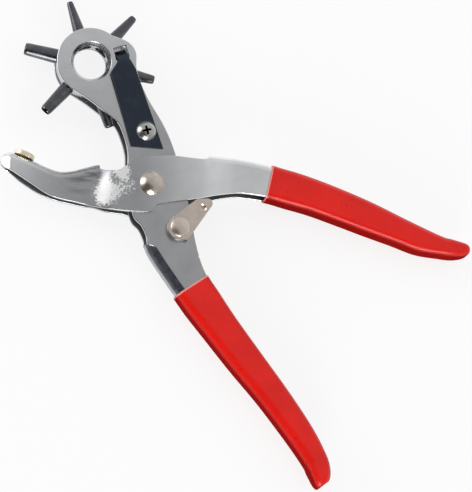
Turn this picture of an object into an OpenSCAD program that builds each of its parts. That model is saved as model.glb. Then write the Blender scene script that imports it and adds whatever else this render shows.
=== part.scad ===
// Rotary hole punch for leather: a folded steel frame carries a turret of six
// hollow punch tubes, and a second folded arm closes a brass anvil on the tube
// that faces it. The tool lies on its side: the main pivot stands along +Z,
// its flat tail rests on z = 0, and the origin is on the pivot axis.
// All sizes are in millimetres and all angles in degrees.

/* [Sheet metal] */
// Thickness of the pressed steel sheet
sheet_t = 1.8; // [1.4:0.1:2]
// Depth of the frame over its two cheeks
frame_depth = 12; // [11.4:0.1:13]
// Depth of the jaw behind the anvil
jaw_depth = 8; // [7.6:0.1:9]
// Outer radius of the fold along the handles
fold_r = 3.6; // [3:0.1:4]
// Outer radius of the fold along the jaw
jaw_fold_r = 2.4; // [2.2:0.1:2.8]
// Side clearance between sliding sheets
slide_gap = 0.15; // [0.1:0.05:0.3]

/* [Main pivot] */
// Radius of the rivet's shank
pivot_r = 3; // [2.5:0.1:3.4]
// Radius of the rivet's domed head
pivot_head_r = 5.2; // [4.6:0.1:5.6]
// Height of the rivet's domed head
pivot_head_h = 2.6; // [2:0.1:3]
// Radius of the rivet's flat tail
pivot_tail_r = 4.8; // [4.2:0.1:5.4]
// Thickness of the rivet's flat tail
pivot_tail_h = 0.9; // [0.7:0.1:1.4]
// Radial clearance of every turning fit
run_gap = 0.05; // [0.03:0.01:0.08]
// Opening of the jaw at rest, from the closed anvil
open_angle = 21; // [18:0.5:22]

/* [Head and turret] */
// Distance from the main pivot to the turret axis
head_distance = 57.8; // [55:0.2:60]
// Direction of the turret axis seen from the main pivot
head_angle = 116.5; // [115:0.5:118]
// Radius of the round head
head_r = 14.5; // [14.3:0.1:15.2]
// Radius of the hole through the head
head_hole_r = 7.15; // [6.6:0.05:7.4]
// Outer radius of the turret ring
ring_r = 14; // [13.6:0.1:14.2]
// Steel left over the tubes' shanks in the ring's inner rib
rib_wall = 0.25; // [0.2:0.05:0.35]
// Side clearance of the turret ring between the cheeks
ring_gap = 0.2; // [0.15:0.05:0.4]
// Width of a detent notch in the ring
notch_w = 2.6; // [2.2:0.1:3]
// Depth of a detent notch in the ring
notch_depth = 1; // [0.8:0.1:1.2]

// Half width of the neck where it crosses the anvil arm
neck_w = 15.8; // [15:0.1:16.6]
// Drop from the main pivot to the root of the lower handle
root_drop = 25; // [24:0.5:27]

/* [Punch tubes] */
// Bore of the smallest punch tube
bore_min = 2; // [1.8:0.1:2.4]
// Step in bore from one tube to the next
bore_step = 0.5; // [0.4:0.05:0.5]
// Reach of the tube tips from the turret axis
tip_reach = 28; // [26:0.5:30]
// Radius of the tubes' shanks inside the ring
shank_r = 3; // [2.9:0.05:3.2]
// Outer radius of the smallest tube at the ring
root_min = 2.5; // [2.3:0.1:2.7]
// Wall of a tube at its tip
tip_wall = 0.4; // [0.3:0.05:0.5]

/* [Anvil] */
// Diameter of the brass anvil pad
pad_d = 9; // [8:0.5:10]
// Thickness of the brass anvil pad
pad_t = 2; // [1.6:0.1:2.4]
// Radius of the pad's rivet stem
pad_stem_r = 1.5; // [1.2:0.1:1.8]
// Gap between pad and tube tip when the jaw is closed
bite_gap = 0.2; // [0.1:0.05:0.4]

/* [Detent spring] */
// Thickness of the leaf spring
leaf_t = 1; // [0.8:0.1:1.1]
// Lift of the leaf spring above the cheek near the window
leaf_lift = 1.3; // [1:0.1:1.6]
// Width of the tongue that drops into the window
tongue_w = 4.5; // [4:0.1:5]
// Radius of the screw's thread
screw_r = 2; // [1.8:0.1:2.3]
// Radius of the screw's pan head
screw_head_r = 4.2; // [3.8:0.1:4.4]
// Height of the screw's pan head
screw_head_h = 2.4; // [2:0.1:2.8]

/* [Lock lever] */
// Thickness of the lock lever
lever_t = 1.5; // [1.2:0.1:1.8]
// Radius of the lever's round end
lever_r = 5.1; // [4.8:0.1:5.4]
// Depth of the dimple pressed into the lever
dimple_depth = 0.5; // [0.4:0.1:0.8]
// Radius of the lock rivet's shank
lock_r = 2.2; // [2:0.1:2.5]
// Radius of the lock rivet's domed head
lock_head_r = 4.2; // [3.8:0.1:4.4]
// Height of the lock rivet's domed head
lock_head_h = 1.7; // [1.4:0.1:2.2]

/* [Handle spring] */
// Diameter of the spring wire
wire_d = 1.4; // [1.2:0.1:1.5]
// Number of whole coils round the pivot
coils = 3; // [2:1:3]

/* [Grips] */
// Thickness of the grips' moulded wall
grip_wall = 1.2; // [1:0.1:1.6]
// Thickness of the grips' wall at their mouths
mouth_wall = 0.8; // [0.6:0.1:1]
// Corner radius of the grips along the handles' open sides
grip_r = 4.6; // [4:0.1:5]
// How far the steel's open edges draw back inside the grips
edge_relief = 1.4; // [1.2:0.1:2]
// Length of solid plastic at the grips' closed ends
grip_end = 8; // [7:0.5:10]
// Distance of the lower grip's mouth from the root of its handle
lower_mouth = 24.6; // [22:0.2:27]
// Distance of the upper grip's mouth from the main pivot
upper_mouth = 50.2; // [48:0.2:53]
// Length of the lower handle from its root to the tip of its grip
lower_length = 124; // [118:1:130]
// Reach of the upper handle from the pivot to the tip of its grip
upper_reach = 136; // [130:1:142]

/* [Hidden] */

$fn = 96;
// Overlap of pieces that are pressed together, and the reach of a cutter past a face
eps = 0.01;
over = 1;

// Half depths of the sheet parts, from the middle plane of the tool
frame_h = frame_depth / 2;
frame_in = frame_h - sheet_t;
jaw_h = jaw_depth / 2;
cross_h = frame_h + slide_gap + sheet_t;
mid_z = cross_h + pivot_tail_h;

// Places on the frame
head = head_distance * [cos(head_angle), sin(head_angle)];
collar_r = head_hole_r + sheet_t;
ring_h = frame_in - ring_gap;
ring_bore = collar_r + run_gap;
rib_h = shank_r + rib_wall;
rib_bore = head_hole_r + 0.2;
collar_l = frame_h - rib_h - ring_gap;
tube_angle = head_angle + 111.5;
notch_angle = tube_angle + 150;
notch_reach = (collar_r + 2 + head_r + 1) / 2;
window_l = tongue_w + 1;
window_reach = notch_reach - window_l / 2;
window_gap = 0.5;
screw_at = neck_point([0.365, 0.49]);
lock_at = [11.6, -18.8];
lower_root = [0, -root_drop];
lower_angle = -53;
lever_z = cross_h + slide_gap + dimple_depth;
lever_angle = 42;
lever_l = 14.3;

// The grips reach their full section this far from their mouths
grip_blend = 10;
mouth_r = 2.8;
lean_run = 25;
tip_l = 10;

// Places on the anvil arm, which is drawn at rest with its jaw open
tip_at = head + (tip_reach + bite_gap) * [cos(tube_angle), sin(tube_angle)];
pad_face = turned(tip_at, open_angle);
pad_angle = tube_angle + 180 + open_angle;
pad_seat = pad_face - pad_t * [cos(pad_angle), sin(pad_angle)];
seat_half = pad_d / 2 + 0.5;
seat_left = seat_point([-seat_half, 0]);
seat_right = seat_point([seat_half, 0]);
nose_x = seat_point([-8.9, -6.1])[0];
jaw_rise = 13.5;
jaw_full = -13.5;
web_stop = -21.6;
web_start = 24.4;
waist_start = 20.5;
waist_end = 28;

// ---------- Curves and lofts ----------

// A point turned about the origin
function turned(p, a) = [p[0] * cos(a) - p[1] * sin(a), p[0] * sin(a) + p[1] * cos(a)];

// A point on the neck: a share of the head's distance along it, and of its half width across it
function neck_point(p) = turned([p[0] * head_distance, -p[1] * neck_w], head_angle);

// A point on the head, in shares of the head's radius
function head_point(p) = head + turned([p[0], -p[1]] * head_r, head_angle);

// A point given along and across the lower handle, from its root
function lower_point(p) = lower_root + turned(p, lower_angle);

// A point given along the anvil seat, towards the pivot, and outwards from it
function seat_point(p) = pad_seat + turned([p[0], p[1]], pad_angle - 90);

// Points whose places along a handle or jaw are shares of the way from a to b
function stretch(a, b, shape) = [for (p = shape) [a + p[0] * (b - a), p[1]]];

// Index of the span of a rising list of points that holds x
function span(pts, x, i = 0) = i >= len(pts) - 2 || x < pts[i + 1][0] ? i : span(pts, x, i + 1);

// Slope of a smooth curve through the points, at point i
function slope_at(pts, i) =
    let (a = pts[max(i - 1, 0)], b = pts[min(i + 1, len(pts) - 1)])
    (b[1] - a[1]) / (b[0] - a[0]);

// Height at x of a smooth curve through the points
function curve(pts, x) =
    let (i = span(pts, x), a = pts[i], b = pts[i + 1], d = b[0] - a[0], u = (x - a[0]) / d)
    let (m = slope_at(pts, i) * d, n = slope_at(pts, i + 1) * d)
    a[1] * (1 + 2 * u) * (1 - u) * (1 - u) + m * u * (1 - u) * (1 - u)
    + b[1] * u * u * (3 - 2 * u) - n * u * u * (1 - u);

// Smooth open line through points in the plane, with n steps in each span
function through(pts, n = 4) = concat(
    [for (i = [0:len(pts) - 2], k = [0:n - 1])
        let (a = pts[max(i - 1, 0)], b = pts[i], c = pts[i + 1])
        let (d = pts[min(i + 2, len(pts) - 1)], u = k / n)
        b + 0.5 * u * ((c - a) + u * ((2 * a - 5 * b + 4 * c - d) + u * (3 * b - a - 3 * c + d)))],
    [pts[len(pts) - 1]]);

// Smooth step from 0 to 1
function ease(u) = let (v = min(max(u, 0), 1)) v * v * (3 - 2 * v);

// Points of a quarter circle, clockwise
function arc(c, r, from, n = 5) = [for (k = [0:n]) c + r * [cos(from - 90 * k / n), sin(from - 90 * k / n)]];

// Section of a folded channel: its back is at y = back, its open edges at y = edge.
// The outside comes first and the inside follows the other way round.
function channel(back, edge, h, r, web = sheet_t) =
    let (t = sheet_t, s = sign(back - edge), deep = abs(back - edge), ro = min(r, deep), ri = max(r - t, 0.2))
    let (rim = concat([[0, h]], [for (a = [0:18:90]) [deep - ro + ro * sin(a), h - ro + ro * cos(a)]]))
    let (bay = concat([[0, h - t]],
        [for (a = [0:18:90]) [max(deep - web - ri + ri * sin(a), 0.1), h - t - ri + ri * cos(a)]]))
    let (loop = concat(rim, across(rim), [for (p = bay) [p[0], -p[1]]], across([for (p = bay) [p[0], -p[1]]])))
    [for (k = [0:len(loop) - 1]) let (p = loop[s > 0 ? k : len(loop) - 1 - k]) [edge + s * p[0], p[1]]];

// A line mirrored over the middle plane and taken backwards
function across(line) = [for (k = [len(line) - 1:-1:0]) [line[k][0], -line[k][1]]];

// Section of a grip: a rectangle with one corner radius at its top and one at its bottom
function sleeve(top, bottom, h, rt, rb) = concat(
    arc([top - rt, rt - h], rt, 0), arc([bottom + rb, rb - h], rb, 270),
    arc([bottom + rb, h - rb], rb, 180), arc([top - rt, h - rt], rt, 90));

// Solid through a list of rings with equally many points. Each end is closed by
// a ladder of triangles between point k and point n - 1 - k.
module loft(rings) {
    n = len(rings[0]);
    last = (len(rings) - 1) * n;
    sides = [for (i = [0:n:last - n], k = [0:n - 1])
        let (a = i + k, b = i + (k + 1) % n)
        each [[a, b, b + n], [a, b + n, a + n]]];
    ends = [for (k = [0:n / 2 - 2])
        each [[n - 2 - k, k + 1, k], [n - 1 - k, n - 2 - k, k],
            [last + k, last + k + 1, last + n - 2 - k], [last + k, last + n - 2 - k, last + n - 1 - k]]];
    polyhedron([for (ring = rings) each ring], concat(sides, ends));
}

module at_mid() {
    translate([0, 0, mid_z]) children();
}

module at_head() {
    translate([head[0], head[1], mid_z]) children();
}

// Rivet head: a cap of a sphere that stands on z = 0
module dome(r, h) {
    ball = (r * r + h * h) / (2 * h);
    intersection() {
        translate([0, 0, h - ball]) sphere(ball);
        cylinder(r = r + 1, h = h + 1);
    }
}

// ---------- Frame ----------

// Outline of a cheek, from the round head down to the root of the handle
right_side = through([
    head_point([0.62, 0.72]),
    head_point([0.25, 1.09]),
    head_point([0.01, 1.27]),
    head_point([-0.32, 1.31]),
    head_point([-0.83, 1.09]),
    neck_point([0.588, 0.94]),
    neck_point([0.337, 1]),
    neck_point([0.11, 0.93]),
    neck_point([-0.242, 0.66]),
    lower_point([9, 16.1]),
    lower_point([16, 13])]);
left_side = through([
    lower_point([16, 0.4]),
    lower_point([4, 0.6]),
    lower_point([-0.5, -1.6]),
    lower_point([-3.6, -0.1]),
    lower_point([-8.2, 0.9]),
    neck_point([-0.149, -0.82]),
    neck_point([0.081, -0.61]),
    neck_point([0.213, -0.33]),
    neck_point([0.301, -0.18]),
    neck_point([0.398, -0.1]),
    neck_point([0.505, -0.08]),
    neck_point([0.571, -0.18]),
    neck_point([0.666, -0.35]),
    head_point([-0.95, -0.58]),
    head_point([-0.55, -0.83])]);

// Back of the folded lower handle and its open edges, along the handle
lower_back = concat([[-1, -2.2], [3, -3.2], [12, -3.8]],
    stretch(lower_mouth, lower_length,
        [[0, -4.1], [0.2, -3.5], [0.38, -2.9], [0.56, -1.8], [0.74, -1.6], [0.86, -1.9], [0.93, -2.7], [1, -5]]));
lower_edge = concat([[-1, 19.6], [8, 16.4], [18, 12.3]],
    stretch(lower_mouth, lower_length,
        [[0, 10.7], [0.18, 9.2], [0.36, 8.8], [0.62, 8.4], [0.8, 7.2], [0.92, 5], [1, 3.2]]));

// A handle as its grip needs it: lines of its back and its open edges, place and lean
// of the grip's mouth, and tip of the grip
BACK = 0;
EDGE = 1;
MOUTH = 2;
LEAN = 3;
TIP = 4;
lower_handle = [lower_back, lower_edge, lower_mouth, 0.4, lower_length];

// How far a handle's open edges have drawn back at s
function relief(handle, s) = edge_relief * ease((s - handle[MOUTH]) / grip_blend);

// Places of the sections inside a grip: close behind the mouth, then evenly up to the tip
function grip_stations(handle) = let (mouth = handle[MOUTH], rest = handle[TIP] - tip_l - mouth - grip_blend)
    concat([for (k = [0:3]) mouth + grip_blend * k / 4], [for (k = [0:9]) mouth + grip_blend + rest * k / 9]);

// The same places on the folded steel, which ends inside the grip
function steel_stations(handle) =
    concat([for (s = grip_stations(handle)) if (s < handle[TIP] - grip_end - 1) s], [handle[TIP] - grip_end]);

module cheek() {
    linear_extrude(sheet_t) difference() {
        union() {
            translate(head) circle(head_r);
            polygon(concat(right_side, left_side, [head]));
        }
        translate(head) circle(collar_r);
        circle(pivot_r + run_gap);
    }
}

// Short drawn collar that turns inwards from the cheek and carries the turret ring
module collar() {
    rotate_extrude() difference() {
        union() {
            translate([head_hole_r, frame_h - collar_l]) square([sheet_t, collar_l]);
            translate([collar_r - eps, frame_in]) square([0.5, sheet_t]);
        }
        difference() {
            translate([head_hole_r - 1, frame_in]) square([sheet_t + 1, sheet_t + 1]);
            translate([collar_r, frame_in]) circle(sheet_t);
        }
    }
}

// Folded handle below the crossing, open towards the other handle
module lower_channel() {
    at = concat([-1, 1.5, 4, 8, 12, 16, 20], steel_stations(lower_handle));
    loft([for (s = at) let (edge = curve(lower_edge, s) - relief(lower_handle, s))
        [for (p = channel(curve(lower_back, s), edge, frame_h, fold_r))
            let (q = lower_point([s, p[0]])) [q[0], q[1], p[1]]]]);
}

module turret_frame() {
    color("silver") at_mid() difference() {
        union() {
            translate([0, 0, frame_in]) cheek();
            translate([0, 0, -frame_h]) cheek();
            for (side = [0, 1]) mirror([0, 0, side]) translate([head[0], head[1], 0]) collar();
            lower_channel();
        }
        // window for the spring's tongue, on the upper cheek only
        translate([head[0], head[1], frame_in - over]) rotate(notch_angle)
            translate([window_reach, -tongue_w / 2 - window_gap, 0])
                cube([window_l, tongue_w + 2 * window_gap, sheet_t + 2 * over]);
        translate([screw_at[0], screw_at[1], frame_in - over])
            cylinder(r = screw_r + eps, h = sheet_t + 2 * over);
        translate([lock_at[0], lock_at[1], frame_in - over])
            cylinder(r = lock_r + eps, h = sheet_t + 2 * over);
    }
}

// ---------- Anvil arm ----------

// Back of the folded arm, from the nose over the anvil seat to the grip
arm_back = concat(
    [for (p = [[-8.9, -6.1], [-8.95, -3.9], [-8.1, -1.8]]) seat_point(p)],
    [seat_left, seat_right],
    stretch(seat_right[0], web_stop, [[0.21, 6.5], [0.4, 5.1], [0.58, 5.5], [0.77, 7], [1, 8.6]]),
    [[-15, 9.2], [-10, 12], [-5, 14.6], [2, 15.8], [12, 15.6], [20, 13.7], [web_start, 13], [36, 12.3]],
    stretch(upper_mouth, upper_reach,
        [[0, 9.8], [0.09, 7.4], [0.2, 4.6], [0.33, 0.7], [0.51, -5.5], [0.73, -14.3], [0.9, -20.4], [1, -21.6]]));
arm_edge = concat(
    [for (p = [[-8.6, -6.7], [-7.2, -7.4], [-3.4, -7.7], [5.5, -9.5]]) seat_point(p)],
    stretch(seat_right[0], web_stop, [[0.21, -5.4], [0.4, -7.1], [0.64, -8.4], [0.88, -9.9]]),
    [[-18.8, -11.3], [-11.5, -12.1], [-2, -12.3], [0.2, -11.7], [1.8, -9.2], [4, -8.4], [13.9, -6.7],
        [23.2, -5], [28, -3.9], [36, -2.7], [42, -3]],
    stretch(upper_mouth, upper_reach,
        [[0, -4.1], [0.08, -5.6], [0.2, -8.2], [0.34, -12.2], [0.48, -16.4], [0.62, -20.4], [0.74, -24],
            [0.86, -25.4], [1, -26.9]]));
upper_handle = [arm_back, arm_edge, upper_mouth, 1.6, upper_reach];

// Half depth of the arm: rounded nose, narrow jaw, wide crossing, handle as deep as the frame
nose_l = 3;
function arm_h(x) = x < web_stop - 10
    ? jaw_h - 1.3 * (1 - sqrt(1 - pow(min(max((nose_x + nose_l - x) / nose_l, 0), 1), 2)))
    : x < 0
        ? jaw_h + (cross_h - jaw_h) * ease((x - jaw_full + jaw_rise) / jaw_rise)
        : cross_h - (cross_h - frame_h) * ease((x - waist_start) / (waist_end - waist_start));
function arm_fold(x) = jaw_fold_r + (fold_r - jaw_fold_r) * ease((x - web_stop) / 20);

// The nose is closed by a wall as thick as the sheet: there the back fills the whole section
full_web = 30;
function arm_web(x) = x < nose_x + sheet_t ? full_web : sheet_t;

// Top edge of the cheeks where the back is cut away at the crossing
crossing_edge = [[web_stop, 12], [web_stop + 0.3, 6.2], [-19.2, 5.4], [-15.5, 5.2], [-12.8, 6],
    [-10.4, 7.9], [-7.4, 10.2], [-2, 11.3], [4, 11.9], [10.3, 12], [16, 11.5], [22, 11.1],
    [web_start - 0.5, 11.6], [web_start, 14]];

module anvil_arm() {
    at = concat(
        [for (d = [0, 0.3, 0.8, 1.3, sheet_t - eps, sheet_t + eps, 2.4, 3.6]) nose_x + d],
        [seat_left[0], seat_right[0]],
        [for (f = [0.11, 0.21, 0.3, 0.4, 0.49, 0.58, 0.69, 0.8, 0.91, 1])
            seat_right[0] + f * (web_stop - seat_right[0])],
        [-19, -16.5, jaw_full, -10, -6, -2, -0.9, 0.2, 1, 1.8, 2.8, 4, 9, 15, waist_start, 22.5],
        [web_start, 26.2, waist_end, 32, 37, 42, 47], steel_stations(upper_handle));
    color("gainsboro") at_mid() difference() {
        loft([for (x = at) let (edge = curve(arm_edge, x) + relief(upper_handle, x))
            [for (p = channel(curve(arm_back, x), edge, arm_h(x), arm_fold(x), arm_web(x))) [x, p[0], p[1]]]]);
        translate([0, 0, -cross_h - over]) linear_extrude(2 * (cross_h + over))
            polygon(concat([[web_start, 30], [web_stop, 30]], through(crossing_edge, 3)));
        translate([0, 0, -cross_h - over]) cylinder(r = pivot_r + run_gap, h = 2 * (cross_h + over));
        translate([pad_seat[0], pad_seat[1], 0]) rotate([0, 0, pad_angle]) rotate([0, 90, 0])
            translate([0, 0, -sheet_t - over]) cylinder(r = pad_stem_r + eps, h = sheet_t + 2 * over);
    }
}

// Brass disc riveted through the back of the jaw
module anvil_pad() {
    bevel = 0.3;
    tail_h = 0.8;
    tail_r = pad_stem_r + 0.3;
    color("burlywood") at_mid() translate([pad_seat[0], pad_seat[1], 0]) rotate([0, 0, pad_angle])
        rotate([0, 90, 0]) rotate_extrude() polygon([
            [0, -sheet_t - tail_h], [tail_r, -sheet_t - tail_h], [tail_r, -sheet_t],
            [pad_stem_r, -sheet_t], [pad_stem_r, 0], [pad_d / 2, 0],
            [pad_d / 2, pad_t - bevel], [pad_d / 2 - bevel, pad_t], [0, pad_t]]);
}

// ---------- Pivot ----------

module pivot_rivet() {
    color("tan") at_mid() {
        translate([0, 0, cross_h]) dome(pivot_head_r, pivot_head_h);
        translate([0, 0, -cross_h]) cylinder(r = pivot_r, h = 2 * cross_h);
        translate([0, 0, -mid_z]) cylinder(r = pivot_tail_r, h = pivot_tail_h);
    }
}

// Tube between the cheeks that keeps the frame from being crushed by the rivet
spacer_wall = 1.1;
module pivot_spacer() {
    half = frame_in - 0.02;
    color("gray") at_mid() difference() {
        translate([0, 0, -half]) cylinder(r = pivot_r + run_gap + spacer_wall, h = 2 * half);
        translate([0, 0, -half - 1]) cylinder(r = pivot_r + run_gap, h = 2 * half + 2);
    }
}

// Torsion spring: coils round the spacer, with one leg on each handle's back
coil_r = pivot_r + run_gap + spacer_wall + 0.3 + wire_d / 2;
coil_pitch = wire_d + 0.2;
frame_leg = lower_point([6, curve(lower_back, 6) + sheet_t + wire_d / 2 + 0.1]);
arm_leg_x = 31;
arm_leg = [arm_leg_x, curve(arm_back, arm_leg_x) - sheet_t - wire_d / 2 - 0.15];
leg_start = atan2(arm_leg[1], arm_leg[0]) + acos(coil_r / norm(arm_leg));
leg_end = atan2(frame_leg[1], frame_leg[0]) - acos(coil_r / norm(frame_leg)) + 360;
coil_turn = 360 * coils + leg_end - leg_start;
coil_top = coil_pitch * coil_turn / 720;
coil_steps = 18 * coils;
wire_path = concat(
    [[arm_leg[0], arm_leg[1], coil_top]],
    [for (k = [0:coil_steps]) let (a = leg_start + coil_turn * k / coil_steps)
        [coil_r * cos(a), coil_r * sin(a), coil_top - coil_pitch * (a - leg_start) / 360]],
    [[frame_leg[0], frame_leg[1], -coil_top]]);

module handle_spring() {
    last = len(wire_path) - 1;
    color("dimgray") at_mid() loft([for (i = [0:last])
        let (d = wire_path[min(i + 1, last)] - wire_path[max(i - 1, 0)], t = d / norm(d))
        let (n = cross([0, 0, 1], t) / norm(cross([0, 0, 1], t)), b = cross(t, n))
        [for (k = [0:7]) wire_path[i] + wire_d / 2 * (cos(45 * k) * n + sin(45 * k) * b)]]);
}

// ---------- Turret ----------

// Ring whose inner rib lies between the collars and shows the tubes' ends in the head's hole
module turret_ring() {
    color("lightgray") at_head() difference() {
        rotate_extrude() {
            translate([ring_bore, -ring_h]) square([ring_r - ring_bore, 2 * ring_h]);
            translate([rib_bore, -rib_h]) square([ring_r - rib_bore - 1, 2 * rib_h]);
        }
        for (i = [0:5]) {
            rotate(tube_angle + 60 * i) rotate([0, 90, 0]) cylinder(r = shank_r + eps, h = ring_r + 2);
            rotate(notch_angle + 60 * i) translate([ring_bore + 1.9, -notch_w / 2, ring_h - notch_depth])
                cube([ring_r, notch_w, notch_depth + 1]);
        }
    }
}

// Hollow punch: shank screwed into the ring, long taper, bevelled cutting edge
module punch_tube(i) {
    bore_r = (bore_min + i * bore_step) / 2;
    tip_r = bore_r + tip_wall;
    root_r = max(root_min + 0.12 * i, tip_r);
    clearance = 0.15;
    edge_l = 1;
    color("dimgray") at_head() rotate(tube_angle + 60 * (4 - i)) rotate([0, 90, 0]) difference() {
        union() {
            translate([0, 0, rib_bore + clearance]) cylinder(r = shank_r, h = ring_r - rib_bore - clearance);
            translate([0, 0, ring_r - eps]) cylinder(r = root_r, h = 1 + 2 * eps);
            translate([0, 0, ring_r + 1]) cylinder(r1 = root_r, r2 = tip_r, h = tip_reach - ring_r - 1 - edge_l);
            translate([0, 0, tip_reach - edge_l]) cylinder(r1 = tip_r, r2 = bore_r + 0.12, h = edge_l);
        }
        cylinder(r = bore_r, h = tip_reach + 1);
        cylinder(r = bore_r + clearance, h = tip_reach - 5);
    }
}

// ---------- Detent spring ----------

// The leaf lies along this line, from its screw to the notch it rests in
notch_at = head + notch_reach * [cos(notch_angle), sin(notch_angle)];
leaf_l = norm(notch_at - screw_at);
leaf_angle = atan2(notch_at[1] - screw_at[1], notch_at[0] - screw_at[0]);

// Side view of the leaf: flat under the screw, lifted, then turned down into the notch
leaf_line = concat([[-12, frame_h]], through([
    [6, frame_h], [14, frame_h + leaf_lift * 0.4], [leaf_l - 9, frame_h + leaf_lift * 0.95],
    [leaf_l - 5, frame_h + leaf_lift], [leaf_l - 3, frame_h + leaf_lift - 0.7],
    [leaf_l - 0.7, ring_h + 0.6], [leaf_l + 0.6, ring_h - notch_depth + 0.3]]));

// A line moved sideways by d
function beside(line, d) = [for (i = [0:len(line) - 1])
    let (v = line[min(i + 1, len(line) - 1)] - line[max(i - 1, 0)])
    line[i] + d * [-v[1], v[0]] / norm(v)];

module leaf_plan() {
    difference() {
        polygon([[-9.1, -4.6], [-4.3, 8.2], [3.3, 7.9], [leaf_l - 7.2, 7.1], [leaf_l - 3.6, tongue_w / 2 + 0.6],
            [leaf_l - 2.6, tongue_w / 2], [leaf_l + 1.4, tongue_w / 2], [leaf_l + 1.4, -tongue_w / 2],
            [leaf_l - 3, -tongue_w / 2], [leaf_l - 8.8, -3.5], [5, -4.3]]);
        circle(screw_r + eps);
    }
}

module detent_spring() {
    top = beside(leaf_line, leaf_t);
    color("#2a2f38") at_mid() translate([screw_at[0], screw_at[1], 0]) rotate(leaf_angle) intersection() {
        linear_extrude(2 * frame_h) leaf_plan();
        rotate([90, 0, 0]) translate([0, 0, -10]) linear_extrude(20)
            polygon(concat(leaf_line, [for (k = [len(top) - 1:-1:0]) top[k]]));
    }
}

// Cross-recessed pan head screw, tapped into the upper cheek
module detent_screw() {
    recess = 1.6;
    slot = 0.9;
    color("lightgray") at_mid() translate([screw_at[0], screw_at[1], frame_h + leaf_t]) difference() {
        union() {
            dome(screw_head_r, screw_head_h);
            translate([0, 0, -leaf_t - sheet_t - 1.5]) cylinder(r = screw_r, h = leaf_t + sheet_t + 1.5 + eps);
        }
        for (a = [0, 90]) rotate(a + 20) translate([-recess, -slot / 2, screw_head_h - 1.3]) cube([2 * recess, slot, 2]);
    }
}

// ---------- Lock ----------

module at_lock(z) {
    translate([lock_at[0], lock_at[1], mid_z + z]) children();
}

// Distance piece that lifts the lever clear of the anvil arm's cheek
module lock_washer() {
    color("gray") at_lock(frame_h) difference() {
        cylinder(r = lever_r + 0.3, h = lever_z - frame_h);
        translate([0, 0, -1]) cylinder(r = lock_r + eps, h = lever_z);
    }
}

// Lever of bent-over plate, with a dimple that wedges on the anvil arm's cheek
module lock_lever() {
    ball = 2.4;
    color("tan") at_lock(lever_z) rotate(lever_angle) difference() {
        union() {
            linear_extrude(lever_t) hull() {
                circle(lever_r);
                translate([-0.8, -lever_r]) circle(0.8);
                translate([lever_l - 1.4, 2.4]) circle(2, $fn = 32);
                translate([lever_l + 1.3, 0]) circle(2, $fn = 32);
            }
            translate([lever_l - 2, 0, ball - dimple_depth]) intersection() {
                sphere(ball);
                translate([0, 0, -ball - 1]) cylinder(r = ball, h = 1.5 + dimple_depth);
            }
        }
        translate([lever_l - 2, 0, lever_t + ball - dimple_depth - 0.4]) sphere(ball);
        translate([0, 0, -1]) cylinder(r = lock_r + run_gap, h = lever_t + 2);
    }
}

module lock_rivet() {
    tail_h = 0.9;
    color("tan") at_lock(0) {
        translate([0, 0, lever_z + lever_t + 0.02]) dome(lock_head_r, lock_head_h);
        translate([0, 0, frame_in]) cylinder(r = lock_r, h = lever_z + lever_t + 0.1 - frame_in);
        translate([0, 0, frame_in - tail_h]) cylinder(r = lock_r + 1.1, h = tail_h);
    }
}

// ---------- Grips ----------

// Gap between steel and grip, and the wider gap past the steel's square edges
fit = 0.05;
seam = 0.5;

// Ring round a handle at s: d outside its cheeks and its back, and e outside its open edges.
// Towards the mouth the ring leans along the handle.
function grip_ring(handle, s, d, e, r_back, r_edge) =
    let (up = sign(curve(handle[BACK], s) - curve(handle[EDGE], s)))
    let (lean = handle[LEAN] * (1 - ease((s - handle[MOUTH]) / lean_run)))
    let (back = curve(handle[BACK], s + up * lean) + up * d)
    let (edge = curve(handle[EDGE], s - up * lean) - up * e)
    [for (p = up > 0 ? sleeve(back, edge, frame_h + d, r_back, r_edge)
            : sleeve(edge, back, frame_h + d, r_edge, r_back))
        [s + lean * (2 * p[0] - back - edge) / abs(back - edge), p[0], p[1]]];

// Ring of the socket that holds the steel
function socket_ring(handle, s) =
    grip_ring(handle, s, fit, seam - relief(handle, s), fold_r + fit, seam);

// Ring of the outside, whose wall grows thicker and whose free corners grow rounder behind the mouth
function skin_ring(handle, s) =
    let (k = ease((s - handle[MOUTH]) / grip_blend), d = mouth_wall + (grip_wall - mouth_wall) * k)
    grip_ring(handle, s, d, d, fold_r + d, mouth_r + (grip_r - mouth_r) * k);

// Ring at angle a of the rounded end: it turns in a little from the back, more from the cheeks
// and most from the open side
function tip_ring(handle, a) =
    let (s = handle[TIP] - tip_l + tip_l * sin(a), g = 1 - cos(a))
    let (up = sign(curve(handle[BACK], s) - curve(handle[EDGE], s)))
    let (back = curve(handle[BACK], s) + up * (grip_wall - 1.2 * g * (1 + g)))
    let (edge = curve(handle[EDGE], s) - up * (grip_wall - 3.8 * g))
    let (h = frame_h + grip_wall - 3.2 * g, r = min(grip_r, abs(back - edge) / 2 - 0.1, h - 0.1))
    [for (p = sleeve(max(back, edge), min(back, edge), h, r, r)) [s, p[0], p[1]]];

// Moulded grip that is pushed over a folded handle
module grip(handle) {
    socket_end = handle[TIP] - grip_end + fit;
    socket = [for (s = steel_stations(handle)) if (s < handle[TIP] - grip_end) s];
    loft(concat(
        [socket_ring(handle, socket_end)],
        [for (k = [len(socket) - 1:-1:0]) socket_ring(handle, socket[k])],
        [for (s = grip_stations(handle)) skin_ring(handle, s)],
        [for (a = [15, 30, 45, 60, 75, 85]) tip_ring(handle, a)]));
}

module frame_grip() {
    color("#d63226") at_mid() translate(lower_root) rotate(lower_angle) grip(lower_handle);
}

module arm_grip() {
    color("#d63226") at_mid() grip(upper_handle);
}

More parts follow.
